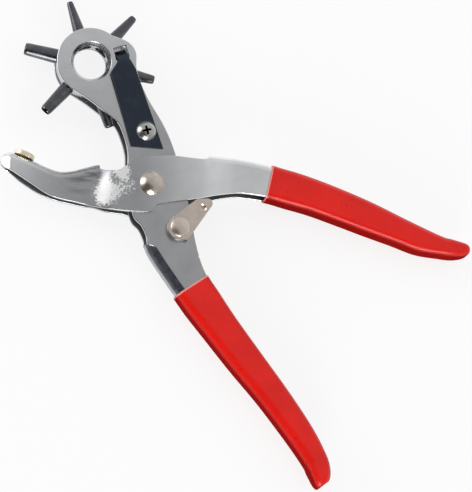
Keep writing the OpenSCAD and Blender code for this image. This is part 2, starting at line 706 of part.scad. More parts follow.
turret_frame();
anvil_arm();
pivot_rivet();
pivot_spacer();
handle_spring();
turret_ring();
punch_tube(0);  // tube_2_0
punch_tube(1);  // tube_2_5
punch_tube(2);  // tube_3_0
punch_tube(3);  // tube_3_5
punch_tube(4);  // tube_4_0
punch_tube(5);  // tube_4_5
anvil_pad();
detent_spring();
detent_screw();
lock_washer();
lock_lever();
lock_rivet();
frame_grip();
arm_grip();
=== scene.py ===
"""Looks of a rotary hole punch: pressed steel frame and arm, turret of punches, red grips."""
import logging
import math
from collections.abc import Callable
from dataclasses import dataclass, field
from enum import Enum

import bmesh
import bpy
from mathutils import Matrix, Vector
from mathutils.geometry import tessellate_polygon


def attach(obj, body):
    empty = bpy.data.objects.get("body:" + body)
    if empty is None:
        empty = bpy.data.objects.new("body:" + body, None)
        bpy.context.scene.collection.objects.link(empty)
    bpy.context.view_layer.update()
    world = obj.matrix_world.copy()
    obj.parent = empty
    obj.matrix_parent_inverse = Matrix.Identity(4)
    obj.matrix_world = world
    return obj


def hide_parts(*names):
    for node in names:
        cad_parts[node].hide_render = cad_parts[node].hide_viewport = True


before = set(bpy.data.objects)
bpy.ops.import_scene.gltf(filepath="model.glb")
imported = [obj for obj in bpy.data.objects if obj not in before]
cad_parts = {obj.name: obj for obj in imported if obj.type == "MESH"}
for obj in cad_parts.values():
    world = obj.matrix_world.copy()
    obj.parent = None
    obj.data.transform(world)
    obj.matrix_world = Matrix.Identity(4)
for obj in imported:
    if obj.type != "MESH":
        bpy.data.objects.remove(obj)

LOG = logging.getLogger("hole_punch")
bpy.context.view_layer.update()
MM = 0.001
Point2 = tuple[float, float]
Point3 = tuple[float, float, float]
Colour = tuple[float, float, float, float]
Value = bpy.types.NodeSocket
Place = Callable[[float, float, float], Vector]


# ---------- Curves ----------

def turned(p: Point2, degrees: float) -> Point2:
    """Returns p turned about the origin."""
    c, s = math.cos(math.radians(degrees)), math.sin(math.radians(degrees))
    return (p[0] * c - p[1] * s, p[0] * s + p[1] * c)


def plus(a: Point2, b: Point2) -> Point2:
    """Returns the sum of two points."""
    return (a[0] + b[0], a[1] + b[1])


def ease(u: float) -> float:
    """Returns a smooth step from 0 to 1."""
    v = min(max(u, 0.0), 1.0)
    return v * v * (3 - 2 * v)


def curve(points: list[Point2], x: float) -> float:
    """Height of a smooth curve at x.

    Args:
        points: Points with rising first coordinates.
        x: Place along the curve.

    Returns:
        The curve's second coordinate.
    """
    i = 0
    while i < len(points) - 2 and x >= points[i + 1][0]:
        i += 1

    def slope(k: int) -> float:
        """Slope of the curve at a point, by its number."""
        a, b = points[max(k - 1, 0)], points[min(k + 1, len(points) - 1)]
        return (b[1] - a[1]) / (b[0] - a[0])

    (ax, ay), (bx, by) = points[i], points[i + 1]
    d = bx - ax
    u = (x - ax) / d
    return (ay * (1 + 2 * u) * (1 - u) ** 2 + slope(i) * d * u * (1 - u) ** 2
            + by * u * u * (3 - 2 * u) - slope(i + 1) * d * u * u * (1 - u))


def through(points: list[Point2], steps: int = 6) -> list[Point2]:
    """Smooth open line through points.

    Args:
        points: Points in the plane.
        steps: Number of steps in each span.

    Returns:
        The finer line.
    """
    line = []
    for i in range(len(points) - 1):
        a, b, c = points[max(i - 1, 0)], points[i], points[i + 1]
        d = points[min(i + 2, len(points) - 1)]
        for k in range(steps):
            u = k / steps
            line.append(tuple(
                b[j] + 0.5 * u * ((c[j] - a[j]) + u * ((2 * a[j] - 5 * b[j] + 4 * c[j] - d[j])
                                                      + u * (3 * b[j] - a[j] - 3 * c[j] + d[j])))
                for j in (0, 1)))
    return line + [points[-1]]


def stretch(a: float, b: float, shape: list[Point2]) -> list[Point2]:
    """Points whose places along a handle are shares of the way from a to b."""
    return [(a + p[0] * (b - a), p[1]) for p in shape]


def spaced(a: float, b: float, step: float) -> list[float]:
    """Evenly spaced numbers from a up to, and without, b."""
    n = max(int(round(abs(b - a) / step)), 1)
    return [a + (b - a) * k / n for k in range(n)]


# ---------- Sizes ----------

@dataclass(frozen=True)
class ToolSizes:
    """Sizes that several sub-assemblies share, in millimetres and degrees."""

    sheet: float = 1.8
    frame_h: float = 6.0
    jaw_h: float = 4.0
    slide_gap: float = 0.15
    tail_h: float = 0.9
    fold_r: float = 3.6
    head_distance: float = 57.8
    head_angle: float = 116.5
    head_r: float = 14.5
    hole_r: float = 7.15
    neck_w: float = 15.8
    root_drop: float = 25.0
    lower_angle: float = -53.0
    tube_angle: float = 228.0
    tip_reach: float = 28.0
    bite_gap: float = 0.2
    open_angle: float = 21.0
    pad_t: float = 2.0
    pad_d: float = 9.0

    @property
    def cross_h(self) -> float:
        """Half depth of the anvil arm where it straddles the frame."""
        return self.frame_h + self.slide_gap + self.sheet

    @property
    def mid_z(self) -> float:
        """Height of the tool's middle plane."""
        return self.cross_h + self.tail_h

    @property
    def head(self) -> Point2:
        """Place of the turret's axis."""
        return turned((self.head_distance, 0), self.head_angle)

    @property
    def pad_angle(self) -> float:
        """Direction in which the anvil pad faces with the jaw open."""
        return self.tube_angle + 180 + self.open_angle

    @property
    def pad_seat(self) -> Point2:
        """Middle of the anvil pad's underside."""
        tip = plus(self.head, turned((self.tip_reach + self.bite_gap, 0), self.tube_angle))
        return plus(turned(tip, self.open_angle), turned((-self.pad_t, 0), self.pad_angle))

    def neck_point(self, along: float, across: float) -> Point2:
        """A point on the neck, in shares of its length and half width."""
        return turned((along * self.head_distance, -across * self.neck_w), self.head_angle)

    def head_point(self, along: float, across: float) -> Point2:
        """A point on the head, in shares of its radius."""
        return plus(self.head, turned((along * self.head_r, -across * self.head_r), self.head_angle))

    def lower_point(self, along: float, across: float) -> Point2:
        """A point on the lower handle, from its root."""
        return plus((0, -self.root_drop), turned((along, across), self.lower_angle))

    def seat_point(self, along: float, out: float) -> Point2:
        """A point on the jaw, from the anvil seat."""
        return plus(self.pad_seat, turned((along, out), self.pad_angle - 90))


TOOL = ToolSizes()
# Points of the quarter round at each corner of a sheet's open edge
RIM_POINTS = 4


# ---------- Meshes ----------

def row_point(x: float, y: float, z: float) -> Vector:
    """A point given in millimetres from the middle plane, in metres from the rest face."""
    return Vector((x * MM, y * MM, (z + TOOL.mid_z) * MM))


def piece_from(name: str, bm: bmesh.types.BMesh, *materials: bpy.types.Material) -> bpy.types.Object:
    """Makes an object at the origin from a bmesh in row metres.

    Large flat faces keep their own normals and rounded edges are shaded smooth.

    Args:
        name: Name of the piece.
        bm: The finished shape, which is freed.
        materials: Its finishes, in the order of the faces' material numbers.

    Returns:
        The linked object.
    """
    bmesh.ops.recalc_face_normals(bm, faces=bm.faces)
    mesh = bpy.data.meshes.new(name)
    bm.to_mesh(mesh)
    bm.free()
    for material in materials:
        mesh.materials.append(material)
    mesh.shade_smooth()
    mesh.set_sharp_from_angle(angle=math.radians(40))
    made = bpy.data.objects.new(name, mesh)
    bpy.context.scene.collection.objects.link(made)
    modifier = made.modifiers.new("even_normals", "WEIGHTED_NORMAL")
    modifier.keep_sharp, modifier.weight = True, 80
    finished = bpy.data.meshes.new_from_object(made.evaluated_get(bpy.context.evaluated_depsgraph_get()))
    made.modifiers.clear()
    made.data = finished
    finished.name = name
    return made


def add_loft(bm: bmesh.types.BMesh, rings: list[list[Point3]], place: Place = row_point,
             inside_from: int | None = None, paint: Callable[[int, int], int] = lambda ring, k: 0) -> None:
    """Adds a closed solid through rings with equally many points.

    Args:
        bm: Mesh that receives the faces.
        rings: Rings of points, in millimetres from the middle plane.
        place: Turns a ring's point into a row point.
        inside_from: First point of the ring's inner side, whose faces take the second material.
        paint: Number of the material of the face behind a ring and a point, or 0 for the usual one.
    """
    made = [[bm.verts.new(place(*p)) for p in ring] for ring in rings]
    n = len(made[0])
    for ring, (a, b) in enumerate(zip(made, made[1:])):
        for k in range(n):
            face = bm.faces.new((a[k], a[(k + 1) % n], b[(k + 1) % n], b[k]))
            inside = inside_from is not None and inside_from + RIM_POINTS - 1 <= k < n - RIM_POINTS
            face.material_index = paint(ring, k) or int(inside)
    bm.faces.new(made[0])
    bm.faces.new(made[-1])


def add_lathe(bm: bmesh.types.BMesh, profile: list[Point2], place: Place, segments: int = 96) -> None:
    """Adds a turned shape.

    Args:
        bm: Mesh that receives the faces.
        profile: Closed line of (radius, height); a radius of 0 makes a pole.
        place: Turns (x, y, z) about the turning axis into a row point.
        segments: Number of faces round the axis.
    """
    turns = [2 * math.pi * k / segments for k in range(segments)]
    rings = []
    for radius, height in profile:
        if radius < 1e-6:
            rings.append([bm.verts.new(place(0.0, 0.0, height))])
            continue
        rings.append([bm.verts.new(place(radius * math.cos(a), radius * math.sin(a), height)) for a in turns])
    for a, b in zip(rings, rings[1:] + rings[:1]):
        if len(a) == 1 and len(b) == 1:
            continue
        for k in range(segments):
            n = (k + 1) % segments
            if len(a) == 1:
                bm.faces.new((a[0], b[k], b[n]))
            elif len(b) == 1:
                bm.faces.new((a[k], a[n], b[0]))
            else:
                bm.faces.new((a[k], a[n], b[n], b[k]))


def offset_loop(loop: list[Point2], amounts: list[float]) -> list[Point2]:
    """Moves each point of a loop to its left by its own amount.

    Args:
        loop: Closed line.
        amounts: Distance for each of its points.

    Returns:
        The moved points.
    """
    moved = []
    n = len(loop)
    for i, p in enumerate(loop):
        a, b = Vector(loop[i - 1]), Vector(loop[(i + 1) % n])
        before, after = (Vector(p) - a).normalized(), (b - Vector(p)).normalized()
        bisector = Vector((-before.y - after.y, before.x + after.x))
        if bisector.length < 1e-6:
            moved.append(p)
            continue
        bisector.normalize()
        lean = max(bisector.dot(Vector((-before.y, before.x))), 0.5)
        moved.append((p[0] + bisector.x * amounts[i] / lean, p[1] + bisector.y * amounts[i] / lean))
    return moved


def counter_clockwise(loop: list[Point2]) -> bool:
    """Whether a loop runs counter-clockwise."""
    return sum(a[0] * b[1] - b[0] * a[1] for a, b in zip(loop, loop[1:] + loop[:1])) > 0


def add_plate(bm: bmesh.types.BMesh, loops: list[list[Point2]], low: float, high: float, radius: float,
              free: Callable[[Point2], float] = lambda p: 1.0, inside: int | None = None) -> None:
    """Adds a flat plate with rounded rims.

    Args:
        bm: Mesh that receives the faces.
        loops: The outline first, then the holes.
        low: Height of the lower face.
        high: Height of the upper face.
        radius: Radius of the rounded rims.
        free: Share of that radius at a point of an outline.
        inside: The face that takes the second material: 0 for the lower one and 1 for the upper one.
    """
    steps = 3
    ordered = [loop if counter_clockwise(loop) == (i == 0) else loop[::-1] for i, loop in enumerate(loops)]
    quarter = [math.pi / 2 * k / steps for k in range(steps + 1)]
    lift = [(radius * (1 - math.sin(a)), radius * (1 - math.cos(a))) for a in quarter]
    levels = [(inset, low + up) for inset, up in lift]
    levels += [(inset, high - down) for inset, down in lift[::-1]]
    faces = {0: [], len(levels) - 1: []}
    for loop in ordered:
        weights = [free(p) for p in loop]
        rings = []
        for inset, z in levels:
            moved = offset_loop(loop, [inset * w for w in weights])
            rings.append([bm.verts.new(row_point(p[0], p[1], z)) for p in moved])
        n = len(loop)
        for a, b in zip(rings, rings[1:]):
            for k in range(n):
                bm.faces.new((a[k], a[(k + 1) % n], b[(k + 1) % n], b[k]))
        for level in faces:
            faces[level].append(rings[level])
    for side, rings in enumerate(faces.values()):
        corners = [v for ring in rings for v in ring]
        for tri in tessellate_polygon([[v.co for v in ring] for ring in rings]):
            bm.faces.new([corners[i] for i in tri]).material_index = int(side == inside)


def add_round_wire(bm: bmesh.types.BMesh, path: list[Vector], radius: float, sides: int = 16) -> None:
    """Adds a round wire along a path, with its ends rounded over.

    Args:
        bm: Mesh that receives the faces.
        path: Points from the middle plane, in millimetres.
        radius: Radius of the wire.
        sides: Number of faces round the wire.
    """
    rings = []
    last = len(path) - 1
    for i, p in enumerate(path):
        t = (path[min(i + 1, last)] - path[max(i - 1, 0)]).normalized()
        n = Vector((0, 0, 1)).cross(t).normalized()
        b = t.cross(n)
        caps = [(0.0, 1.0)]
        if i == 0:
            caps = [(-0.8, 0.5), (-0.4, 0.87)] + caps
        elif i == last:
            caps = caps + [(0.4, 0.87), (0.8, 0.5)]
        for shift, share in caps:
            centre = p + t * shift * radius
            rings.append([tuple(centre + (n * math.cos(a) + b * math.sin(a)) * radius * share)
                          for a in (2 * math.pi * k / sides for k in range(sides))])
    add_loft(bm, rings)


def softened_copy(name: str, node: str, material: bpy.types.Material, radius: float) -> bpy.types.Object:
    """A copy of a CAD node whose sharp edges are rounded over.

    Args:
        name: Name of the piece.
        node: The CAD node to copy.
        material: Its finish.
        radius: Radius of the rounded edges, in millimetres.

    Returns:
        The linked object.
    """
    bm = bmesh.new()
    bm.from_mesh(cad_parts[node].data)
    bmesh.ops.remove_doubles(bm, verts=bm.verts, dist=1e-7)
    bmesh.ops.dissolve_limit(bm, angle_limit=math.radians(1), verts=bm.verts, edges=bm.edges)
    sharp = [e for e in bm.edges if len(e.link_faces) == 2 and e.calc_face_angle() > math.radians(35)]
    bmesh.ops.bevel(bm, geom=sharp, offset=radius * MM, segments=2, profile=0.5, affect="EDGES",
                    clamp_overlap=True, harden_normals=False)
    return piece_from(name, bm, material)


# ---------- Node trees ----------

def linear(hex_colour: str) -> Colour:
    """Turns a colour from sRGB hex to linear.

    Args:
        hex_colour: The colour, such as "#C0FFEE".

    Returns:
        Its linear red, green, blue and alpha.
    """
    parts = [int(hex_colour[i:i + 2], 16) / 255 for i in (1, 3, 5)]
    return tuple(c / 12.92 if c <= 0.04045 else ((c + 0.055) / 1.055) ** 2.4 for c in parts) + (1.0,)


def add(tree: bpy.types.NodeTree, kind: str, settings: dict | None = None,
        inputs: dict | None = None) -> bpy.types.Node:
    """Adds a node.

    Args:
        tree: The tree that gets the node.
        kind: The node's type name.
        settings: Attributes to set on it.
        inputs: Values or sockets for its inputs, by name or number.

    Returns:
        The new node.
    """
    node = tree.nodes.new(kind)
    for key, value in (settings or {}).items():
        setattr(node, key, value)
    for key, value in (inputs or {}).items():
        if isinstance(value, bpy.types.NodeSocket):
            tree.links.new(value, node.inputs[key])
        else:
            node.inputs[key].default_value = value
    return node


@dataclass(frozen=True)
class Surface:
    """A new material with its shader, coordinates and output in place, and the patterns drawn on it."""

    material: bpy.types.Material
    shader: bpy.types.Node
    coords: Value

    @classmethod
    def start(cls, name: str, values: dict[str, float | Colour]) -> "Surface":
        """Starts a material on a Principled shader.

        Args:
            name: Name of the material.
            values: Constant values for the shader's own sockets.

        Returns:
            The material's parts.
        """
        material = bpy.data.materials.new(name)
        material.use_nodes = True
        tree = material.node_tree
        tree.nodes.clear()
        shader = add(tree, "ShaderNodeBsdfPrincipled", inputs=values)
        add(tree, "ShaderNodeOutputMaterial", inputs={"Surface": shader.outputs[0]})
        coords = add(tree, "ShaderNodeTexCoord").outputs["Object"]
        return cls(material, shader, coords)

    @property
    def tree(self) -> bpy.types.NodeTree:
        """The material's node tree."""
        return self.material.node_tree

    def give(self, socket: str, value: Value) -> None:
        """Links a value to one of the shader's sockets."""
        self.tree.links.new(value, self.shader.inputs[socket])

    def follow(self, socket: str, pattern: Value, source: Point2, target: Point2) -> None:
        """Makes one of the shader's sockets follow a pattern.

        Args:
            socket: Name of the socket.
            pattern: The pattern's value.
            source: Range of the pattern, past which the socket stays as it is.
            target: The socket's values at the ends of that range.
        """
        self.give(socket, add(self.tree, "ShaderNodeMapRange", inputs={
            "Value": pattern, "From Min": source[0], "From Max": source[1],
            "To Min": target[0], "To Max": target[1]}).outputs[0])

    def blots(self, size_mm: float, detail: float = 2.0, stretch_by: Point3 = (1, 1, 1), rough: float = 0.5,
              source: Point2 | None = None, target: tuple[float, float | Value] = (0.0, 1.0)) -> Value:
        """Draws uneven blots.

        Args:
            size_mm: Width of one blot.
            detail: Number of finer layers.
            stretch_by: Scale of the pattern along each axis.
            rough: Weight of the finer layers.
            source: Range of the pattern that is spread over the target, or None to leave it as it is.
            target: The ends of the new range; the upper one may be a value that differs from place to place.

        Returns:
            The blots' value, which is about 0.5 on average where it is left as it is.
        """
        mapped = add(self.tree, "ShaderNodeMapping", inputs={"Vector": self.coords, "Scale": stretch_by})
        drawn = add(self.tree, "ShaderNodeTexNoise", inputs={
            "Vector": mapped.outputs[0], "Scale": 1000 / size_mm, "Detail": detail,
            "Roughness": rough}).outputs["Fac"]
        if source is None:
            return drawn
        return add(self.tree, "ShaderNodeMapRange", inputs={
            "Value": drawn, "From Min": source[0], "From Max": source[1],
            "To Min": target[0], "To Max": target[1]}).outputs[0]

    def patch(self, centre: Point3, radii: Point2, strength: float = 1.0) -> Value:
        """Marks a round patch of a surface.

        Args:
            centre: Middle of the patch, in millimetres.
            radii: Radius that is wholly inside the patch, and the radius at which it has faded out.
            strength: Value inside the patch.

        Returns:
            The strength inside the patch and 0 outside it.
        """
        away = add(self.tree, "ShaderNodeVectorMath", {"operation": "DISTANCE"}, {
            0: self.coords, 1: Vector(centre) * MM}).outputs["Value"]
        return add(self.tree, "ShaderNodeMapRange", {"interpolation_type": "SMOOTHSTEP"}, {
            "Value": away, "From Min": radii[0] * MM, "From Max": radii[1] * MM,
            "To Min": strength, "To Max": 0.0}).outputs[0]

    def two_tone(self, pattern: Value, source: Point2, first: Colour | Value,
                 second: Colour | Value) -> Value:
        """Colours the surface in two tones that follow a pattern.

        Args:
            pattern: The pattern's value.
            source: The values at which the surface has only the first tone, and only the second.
            first: Tone where the pattern is low.
            second: Tone where the pattern is high.

        Returns:
            The colour.
        """
        share = add(self.tree, "ShaderNodeMapRange", inputs={
            "Value": pattern, "From Min": source[0], "From Max": source[1]}).outputs[0]
        return add(self.tree, "ShaderNodeMix", {"data_type": "RGBA"}, {
            0: share, 6: first, 7: second}).outputs[2]

    def emboss(self, layers: list[tuple[Value, float]]) -> None:
        """Gives the shader a relief.

        Args:
            layers: Patterns, each with its height in millimetres.
        """
        normal = None
        for height, depth in layers:
            inputs = {"Height": height, "Distance": depth * MM, "Strength": 1.0}
            if normal is not None:
                inputs["Normal"] = normal
            normal = add(self.tree, "ShaderNodeBump", inputs=inputs).outputs[0]
        self.give("Normal", normal)


# ---------- Finishes ----------

@dataclass(frozen=True)
class PlatedSteel:
    """Nickel-plated mild steel: a bright grey metal with faint handling smudges and a fine grain."""

    name: str
    colour: str
    shade: str
    smooth: float = 0.17
    dull: float = 0.26
    # The real grain is far finer than this, and is drawn so coarse that it shows
    grain_mm: float = 0.5
    grain_depth: float = 0.0012
    smudge_mm: float = 9.0
    wave_mm: float = 9.0
    wave_grains: float = 6.0
    # Greyer tone of a wide patch, whose middle and radii are in millimetres
    grey_patch: str | None = None
    grey_patch_at: Point3 = (0.0, 0.0, 15.0)
    grey_patch_r: Point2 = (10.0, 60.0)

    def build(self) -> bpy.types.Material:
        """Builds the material.

        Returns:
            The material.
        """
        s = Surface.start(self.name, {"Metallic": 1.0})
        smudge = s.blots(self.smudge_mm, 4.0, rough=0.6)
        colour, roughness = self.pressed(s, self.tone(s, smudge), self.roughness(s, smudge))
        s.give("Base Color", colour)
        s.give("Roughness", roughness)
        s.emboss(self.layers(s))
        return s.material

    def tone(self, s: Surface, smudge: Value) -> Value:
        """Colour of the plating, with its smudges and a greyer patch.

        Args:
            s: The material's parts.
            smudge: Pattern of the smudges.

        Returns:
            The colour.
        """
        colour = s.two_tone(smudge, (0.35, 0.7), linear(self.colour), linear(self.shade))
        if self.grey_patch is None:
            return colour
        # Multiplies in the greyer patch: painted shade towards the handle on the frame, a darker tone round
        # the jaw on the arm
        return add(s.tree, "ShaderNodeMix", {"data_type": "RGBA", "blend_type": "MULTIPLY"}, {
            0: s.patch(self.grey_patch_at, self.grey_patch_r), 6: colour, 7: linear(self.grey_patch)}).outputs[2]

    def roughness(self, s: Surface, smudge: Value) -> Value:
        """Roughness that follows the smudges, with a fine unevenness.

        Args:
            s: The material's parts.
            smudge: Pattern of the smudges.

        Returns:
            The roughness.
        """
        fine = s.blots(self.grain_mm * 3, source=(0.3, 0.7), target=(-0.03, 0.03))
        even = add(s.tree, "ShaderNodeMapRange", inputs={
            "Value": smudge, "From Min": 0.3, "From Max": 0.7, "To Min": self.smooth, "To Max": self.dull})
        return add(s.tree, "ShaderNodeMath", {"operation": "ADD"}, {0: even.outputs[0], 1: fine}).outputs[0]

    def pressed(self, s: Surface, colour: Value, roughness: Value) -> tuple[Value, Value]:
        """Colour and roughness after pressing: unchanged on sheet that wasn't stretched."""
        return colour, roughness

    def layers(self, s: Surface) -> list[tuple[Value, float]]:
        """Fine grain and a slight waviness, each with its depth in millimetres."""
        return [(s.blots(self.grain_mm), self.grain_depth),
                (s.blots(self.wave_mm, 1.0), self.wave_grains * self.grain_depth)]


@dataclass(frozen=True)
class PeeledSteel(PlatedSteel):
    """Plated sheet with the orange peel that bending leaves where the metal was stretched."""

    # Patch that was stretched, and the width and height of one dimple
    drawn_at: Point3 = (-18.6, -4.4, 14.0)
    drawn_r: Point2 = (2.5, 8.4)
    peel_mm: float = 1.0
    peel_depth: float = 0.12

    def layers(self, s: Surface) -> list[tuple[Value, float]]:
        """Fine grain, and the peel where the sheet was stretched."""
        peel = s.blots(self.peel_mm, source=(0, 1), target=(0.0, s.patch(self.drawn_at, self.drawn_r)))
        return super().layers(s) + [(peel, self.peel_depth)]


@dataclass(frozen=True)
class DrawnSteel(PeeledSteel):
    """Plated sheet drawn deeply in the press: orange peel, dull frosting whitened as a painted highlight, and
    dark streaks and specks.
    """

    # Second frosted patch, white painted over the frost as a highlight, and how much rougher frost makes the
    # sheet
    shine_at: Point3 = (-12.9, 4.6, 15.5)
    shine_r: Point2 = (1.4, 5.5)
    frost_and_highlight: str = "#FFFFFF"
    frosting: float = 0.42
    # Dark tone of the streaks and the specks, each with its patch, width and strength
    stain: str = "#4A4A4C"
    streak_at: Point3 = (-29.0, 4.5, 13.0)
    streak_r: Point2 = (4.0, 15.0)
    streak_mm: float = 3.2
    streak_along: Point3 = (0.3, 1.3, 1.0)
    streak_stain: float = 0.6
    streak_depth: float = 0.04
    speck_at: Point3 = (-10.5, -1.5, 16.0)
    speck_r: Point2 = (1.0, 6.5)
    speck_mm: float = 0.9
    speck_stain: float = 0.55

    def streaks(self, s: Surface, source: Point2, strength: float) -> Value:
        """Streaks that the press drew along the sheet.

        Args:
            s: The material's parts.
            source: Range of the pattern that shows.
            strength: Value of the streaks in the middle of their patch.

        Returns:
            The streaks' value.
        """
        place = s.patch(self.streak_at, self.streak_r, strength)
        return s.blots(self.streak_mm, 4.0, self.streak_along, 0.6, source, (0.0, place))

    def frosted_and_highlighted(self, s: Surface) -> Value:
        """How frosted the sheet is, which also marks the painted highlight: three patches with a ragged,
        speckled edge.

        Args:
            s: The material's parts.

        Returns:
            0 on clear plating and 1 on frosted plating that is painted white as a highlight.
        """
        patches = s.patch(self.speck_at, self.speck_r, 0.5)
        for at, radii in ((self.drawn_at, self.drawn_r), (self.shine_at, self.shine_r)):
            patches = add(s.tree, "ShaderNodeMath", {"operation": "ADD"}, {
                0: patches, 1: s.patch(at, radii)}).outputs[0]
        speckles = s.blots(self.peel_mm, 3.0, rough=0.7, source=(0.3, 0.7), target=(-0.5, 0.5))
        ragged = add(s.tree, "ShaderNodeMath", {"operation": "ADD"}, {0: patches, 1: speckles}).outputs[0]
        most = add(s.tree, "ShaderNodeMapRange", inputs={"Value": patches, "From Max": 1 / 3}).outputs[0]
        return add(s.tree, "ShaderNodeMapRange", {"interpolation_type": "SMOOTHSTEP"}, {
            "Value": ragged, "From Min": 0.3, "From Max": 0.75, "To Max": most}).outputs[0]

    def pressed(self, s: Surface, colour: Value, roughness: Value) -> tuple[Value, Value]:
        """Stains the sheet in streaks and specks, and where it is frosted turns it dull, and white as a
        painted highlight.

        Args:
            s: The material's parts.
            colour: Colour of the clear plating.
            roughness: Roughness of the clear plating.

        Returns:
            The colour and the roughness.
        """
        specks = s.blots(self.speck_mm, source=(0.52, 0.64), target=(
            0.0, s.patch(self.speck_at, self.speck_r, self.speck_stain)))
        stains = add(s.tree, "ShaderNodeMath", {"operation": "ADD"}, {
            0: self.streaks(s, (0.46, 0.66), self.streak_stain), 1: specks}).outputs[0]
        stained = add(s.tree, "ShaderNodeMix", {"data_type": "RGBA"}, {
            0: stains, 6: colour, 7: linear(self.stain)}).outputs[2]
        frost_and_highlight = self.frosted_and_highlighted(s)
        # White over the frost is a painted highlight
        white = add(s.tree, "ShaderNodeMix", {"data_type": "RGBA"}, {
            0: frost_and_highlight, 6: stained, 7: linear(self.frost_and_highlight)}).outputs[2]
        dull = add(s.tree, "ShaderNodeMath", {"operation": "MULTIPLY_ADD"}, {
            0: frost_and_highlight, 1: self.frosting, 2: roughness}).outputs[0]
        return white, dull

    def layers(self, s: Surface) -> list[tuple[Value, float]]:
        """Fine grain and peel, and the streaks, each with its depth in millimetres."""
        return super().layers(s) + [(self.streaks(s, (0, 1), 1.0), self.streak_depth)]


@dataclass(frozen=True)
class DarkSteel:
    """Blackened or blued hard steel: a dark thin oxide with a soft sheen, a little worn."""

    name: str
    colour: str
    worn: str
    smooth: float = 0.29
    dull: float = 0.42
    blot_mm: float = 4.0
    # The real grain is far finer than this, and is drawn so coarse that it shows
    grain_mm: float = 0.4
    grain_depth: float = 0.002

    def build(self) -> bpy.types.Material:
        """Builds the material.

        Returns:
            The material.
        """
        s = Surface.start(self.name, {"Metallic": 1.0})
        blot = s.blots(self.blot_mm, 4.0, rough=0.65)
        s.give("Base Color", s.two_tone(blot, (0.5, 0.78), linear(self.colour), linear(self.worn)))
        s.follow("Roughness", blot, (0.3, 0.7), (self.smooth, self.dull))
        s.emboss([(s.blots(self.grain_mm, 3.0), self.grain_depth)])
        return s.material


@dataclass(frozen=True)
class SoftVinyl:
    """Dip-moulded PVC: a strong colour, deepened round its sides by painted shade, with a satin, slightly
    peeled skin.
    """

    name: str = "red_soft_vinyl"
    colour: str = "#E1190F"
    deep: str = "#D5160D"
    # Painted shade of the sides
    side: str = "#8F1411"
    # Upward part of the normal at which a face is wholly side, and wholly face
    side_from: Point2 = (0.25, 0.66)
    gloss: float = 0.3
    blot_mm: float = 14.0
    rub_mm: float = 3.0
    roughness: Point2 = (0.27, 0.36)
    peel_mm: float = 0.9
    peel_depth: float = 0.0015
    wave_mm: float = 8.0
    wave_depth: float = 0.02

    def build(self) -> bpy.types.Material:
        """Builds the material, whose sides are painted darker as shade and are duller than its flat faces.

        Returns:
            The material.
        """
        s = Surface.start(self.name, {"Metallic": 0.0})
        normal = s.coords.node.outputs["Normal"]
        height = add(s.tree, "ShaderNodeSeparateXYZ", inputs={0: normal}).outputs[2]
        flat = add(s.tree, "ShaderNodeMath", {"operation": "ABSOLUTE"}, {0: height}).outputs[0]
        blot = s.blots(self.blot_mm, 3.0)
        face = s.two_tone(blot, (0.35, 0.65), linear(self.colour), linear(self.deep))
        # The sides take the painted shade
        s.give("Base Color", s.two_tone(flat, self.side_from, linear(self.side), face))
        s.follow("Specular IOR Level", flat, self.side_from, (0.0, self.gloss))
        s.follow("Roughness", s.blots(self.rub_mm, 3.0), (0.3, 0.7), self.roughness)
        s.emboss([(s.blots(self.peel_mm), self.peel_depth), (s.blots(self.wave_mm, 1.0), self.wave_depth)])
        return s.material


@dataclass(frozen=True)
class TurnedBrass:
    """Machined brass: yellow metal with fine turning marks."""

    name: str = "turned_brass"
    colour: str = "#FFF5DC"
    shade: str = "#EBDDBD"
    blot_mm: float = 2.0
    roughness: Point2 = (0.42, 0.54)
    # Real turning marks are about 0.1 mm apart, and are drawn so coarse that they show
    mark_mm: float = 0.25
    mark_depth: float = 0.006

    def build(self) -> bpy.types.Material:
        """Builds the material.

        Returns:
            The material.
        """
        s = Surface.start(self.name, {"Metallic": 1.0})
        blot = s.blots(self.blot_mm, 3.0)
        s.give("Base Color", s.two_tone(blot, (0.35, 0.7), linear(self.colour), linear(self.shade)))
        s.follow("Roughness", blot, (0.3, 0.7), self.roughness)
        s.emboss([(s.blots(self.mark_mm), self.mark_depth)])
        return s.material


class Finish(Enum):
    """The finishes of the tool, each with its slot in the record first."""

    SHEET = "sheet_steel"
    ARM = "sheet_steel, arm"
    INSIDE = "sheet_steel, inside"
    BACK = "sheet_steel, back"
    FOLD = "sheet_steel, fold"
    RING = "ring_steel"
    RIVET = "rivet_steel"
    LEVER = "rivet_steel, lever"
    WIRE = "spring_steel"
    LEAF = "blued_steel"
    PUNCH = "punch_steel"
    BORE = "punch_steel, bore"
    SCREW = "screw_steel"
    RECESS = "screw_steel, recess"
    BRASS = "brass"
    VINYL = "red_vinyl"
    LIP_HIGHLIGHT = "red_vinyl, trimmed"

    @property
    def slot(self) -> str:
        """The record's slot."""
        return self.value.split(",")[0]


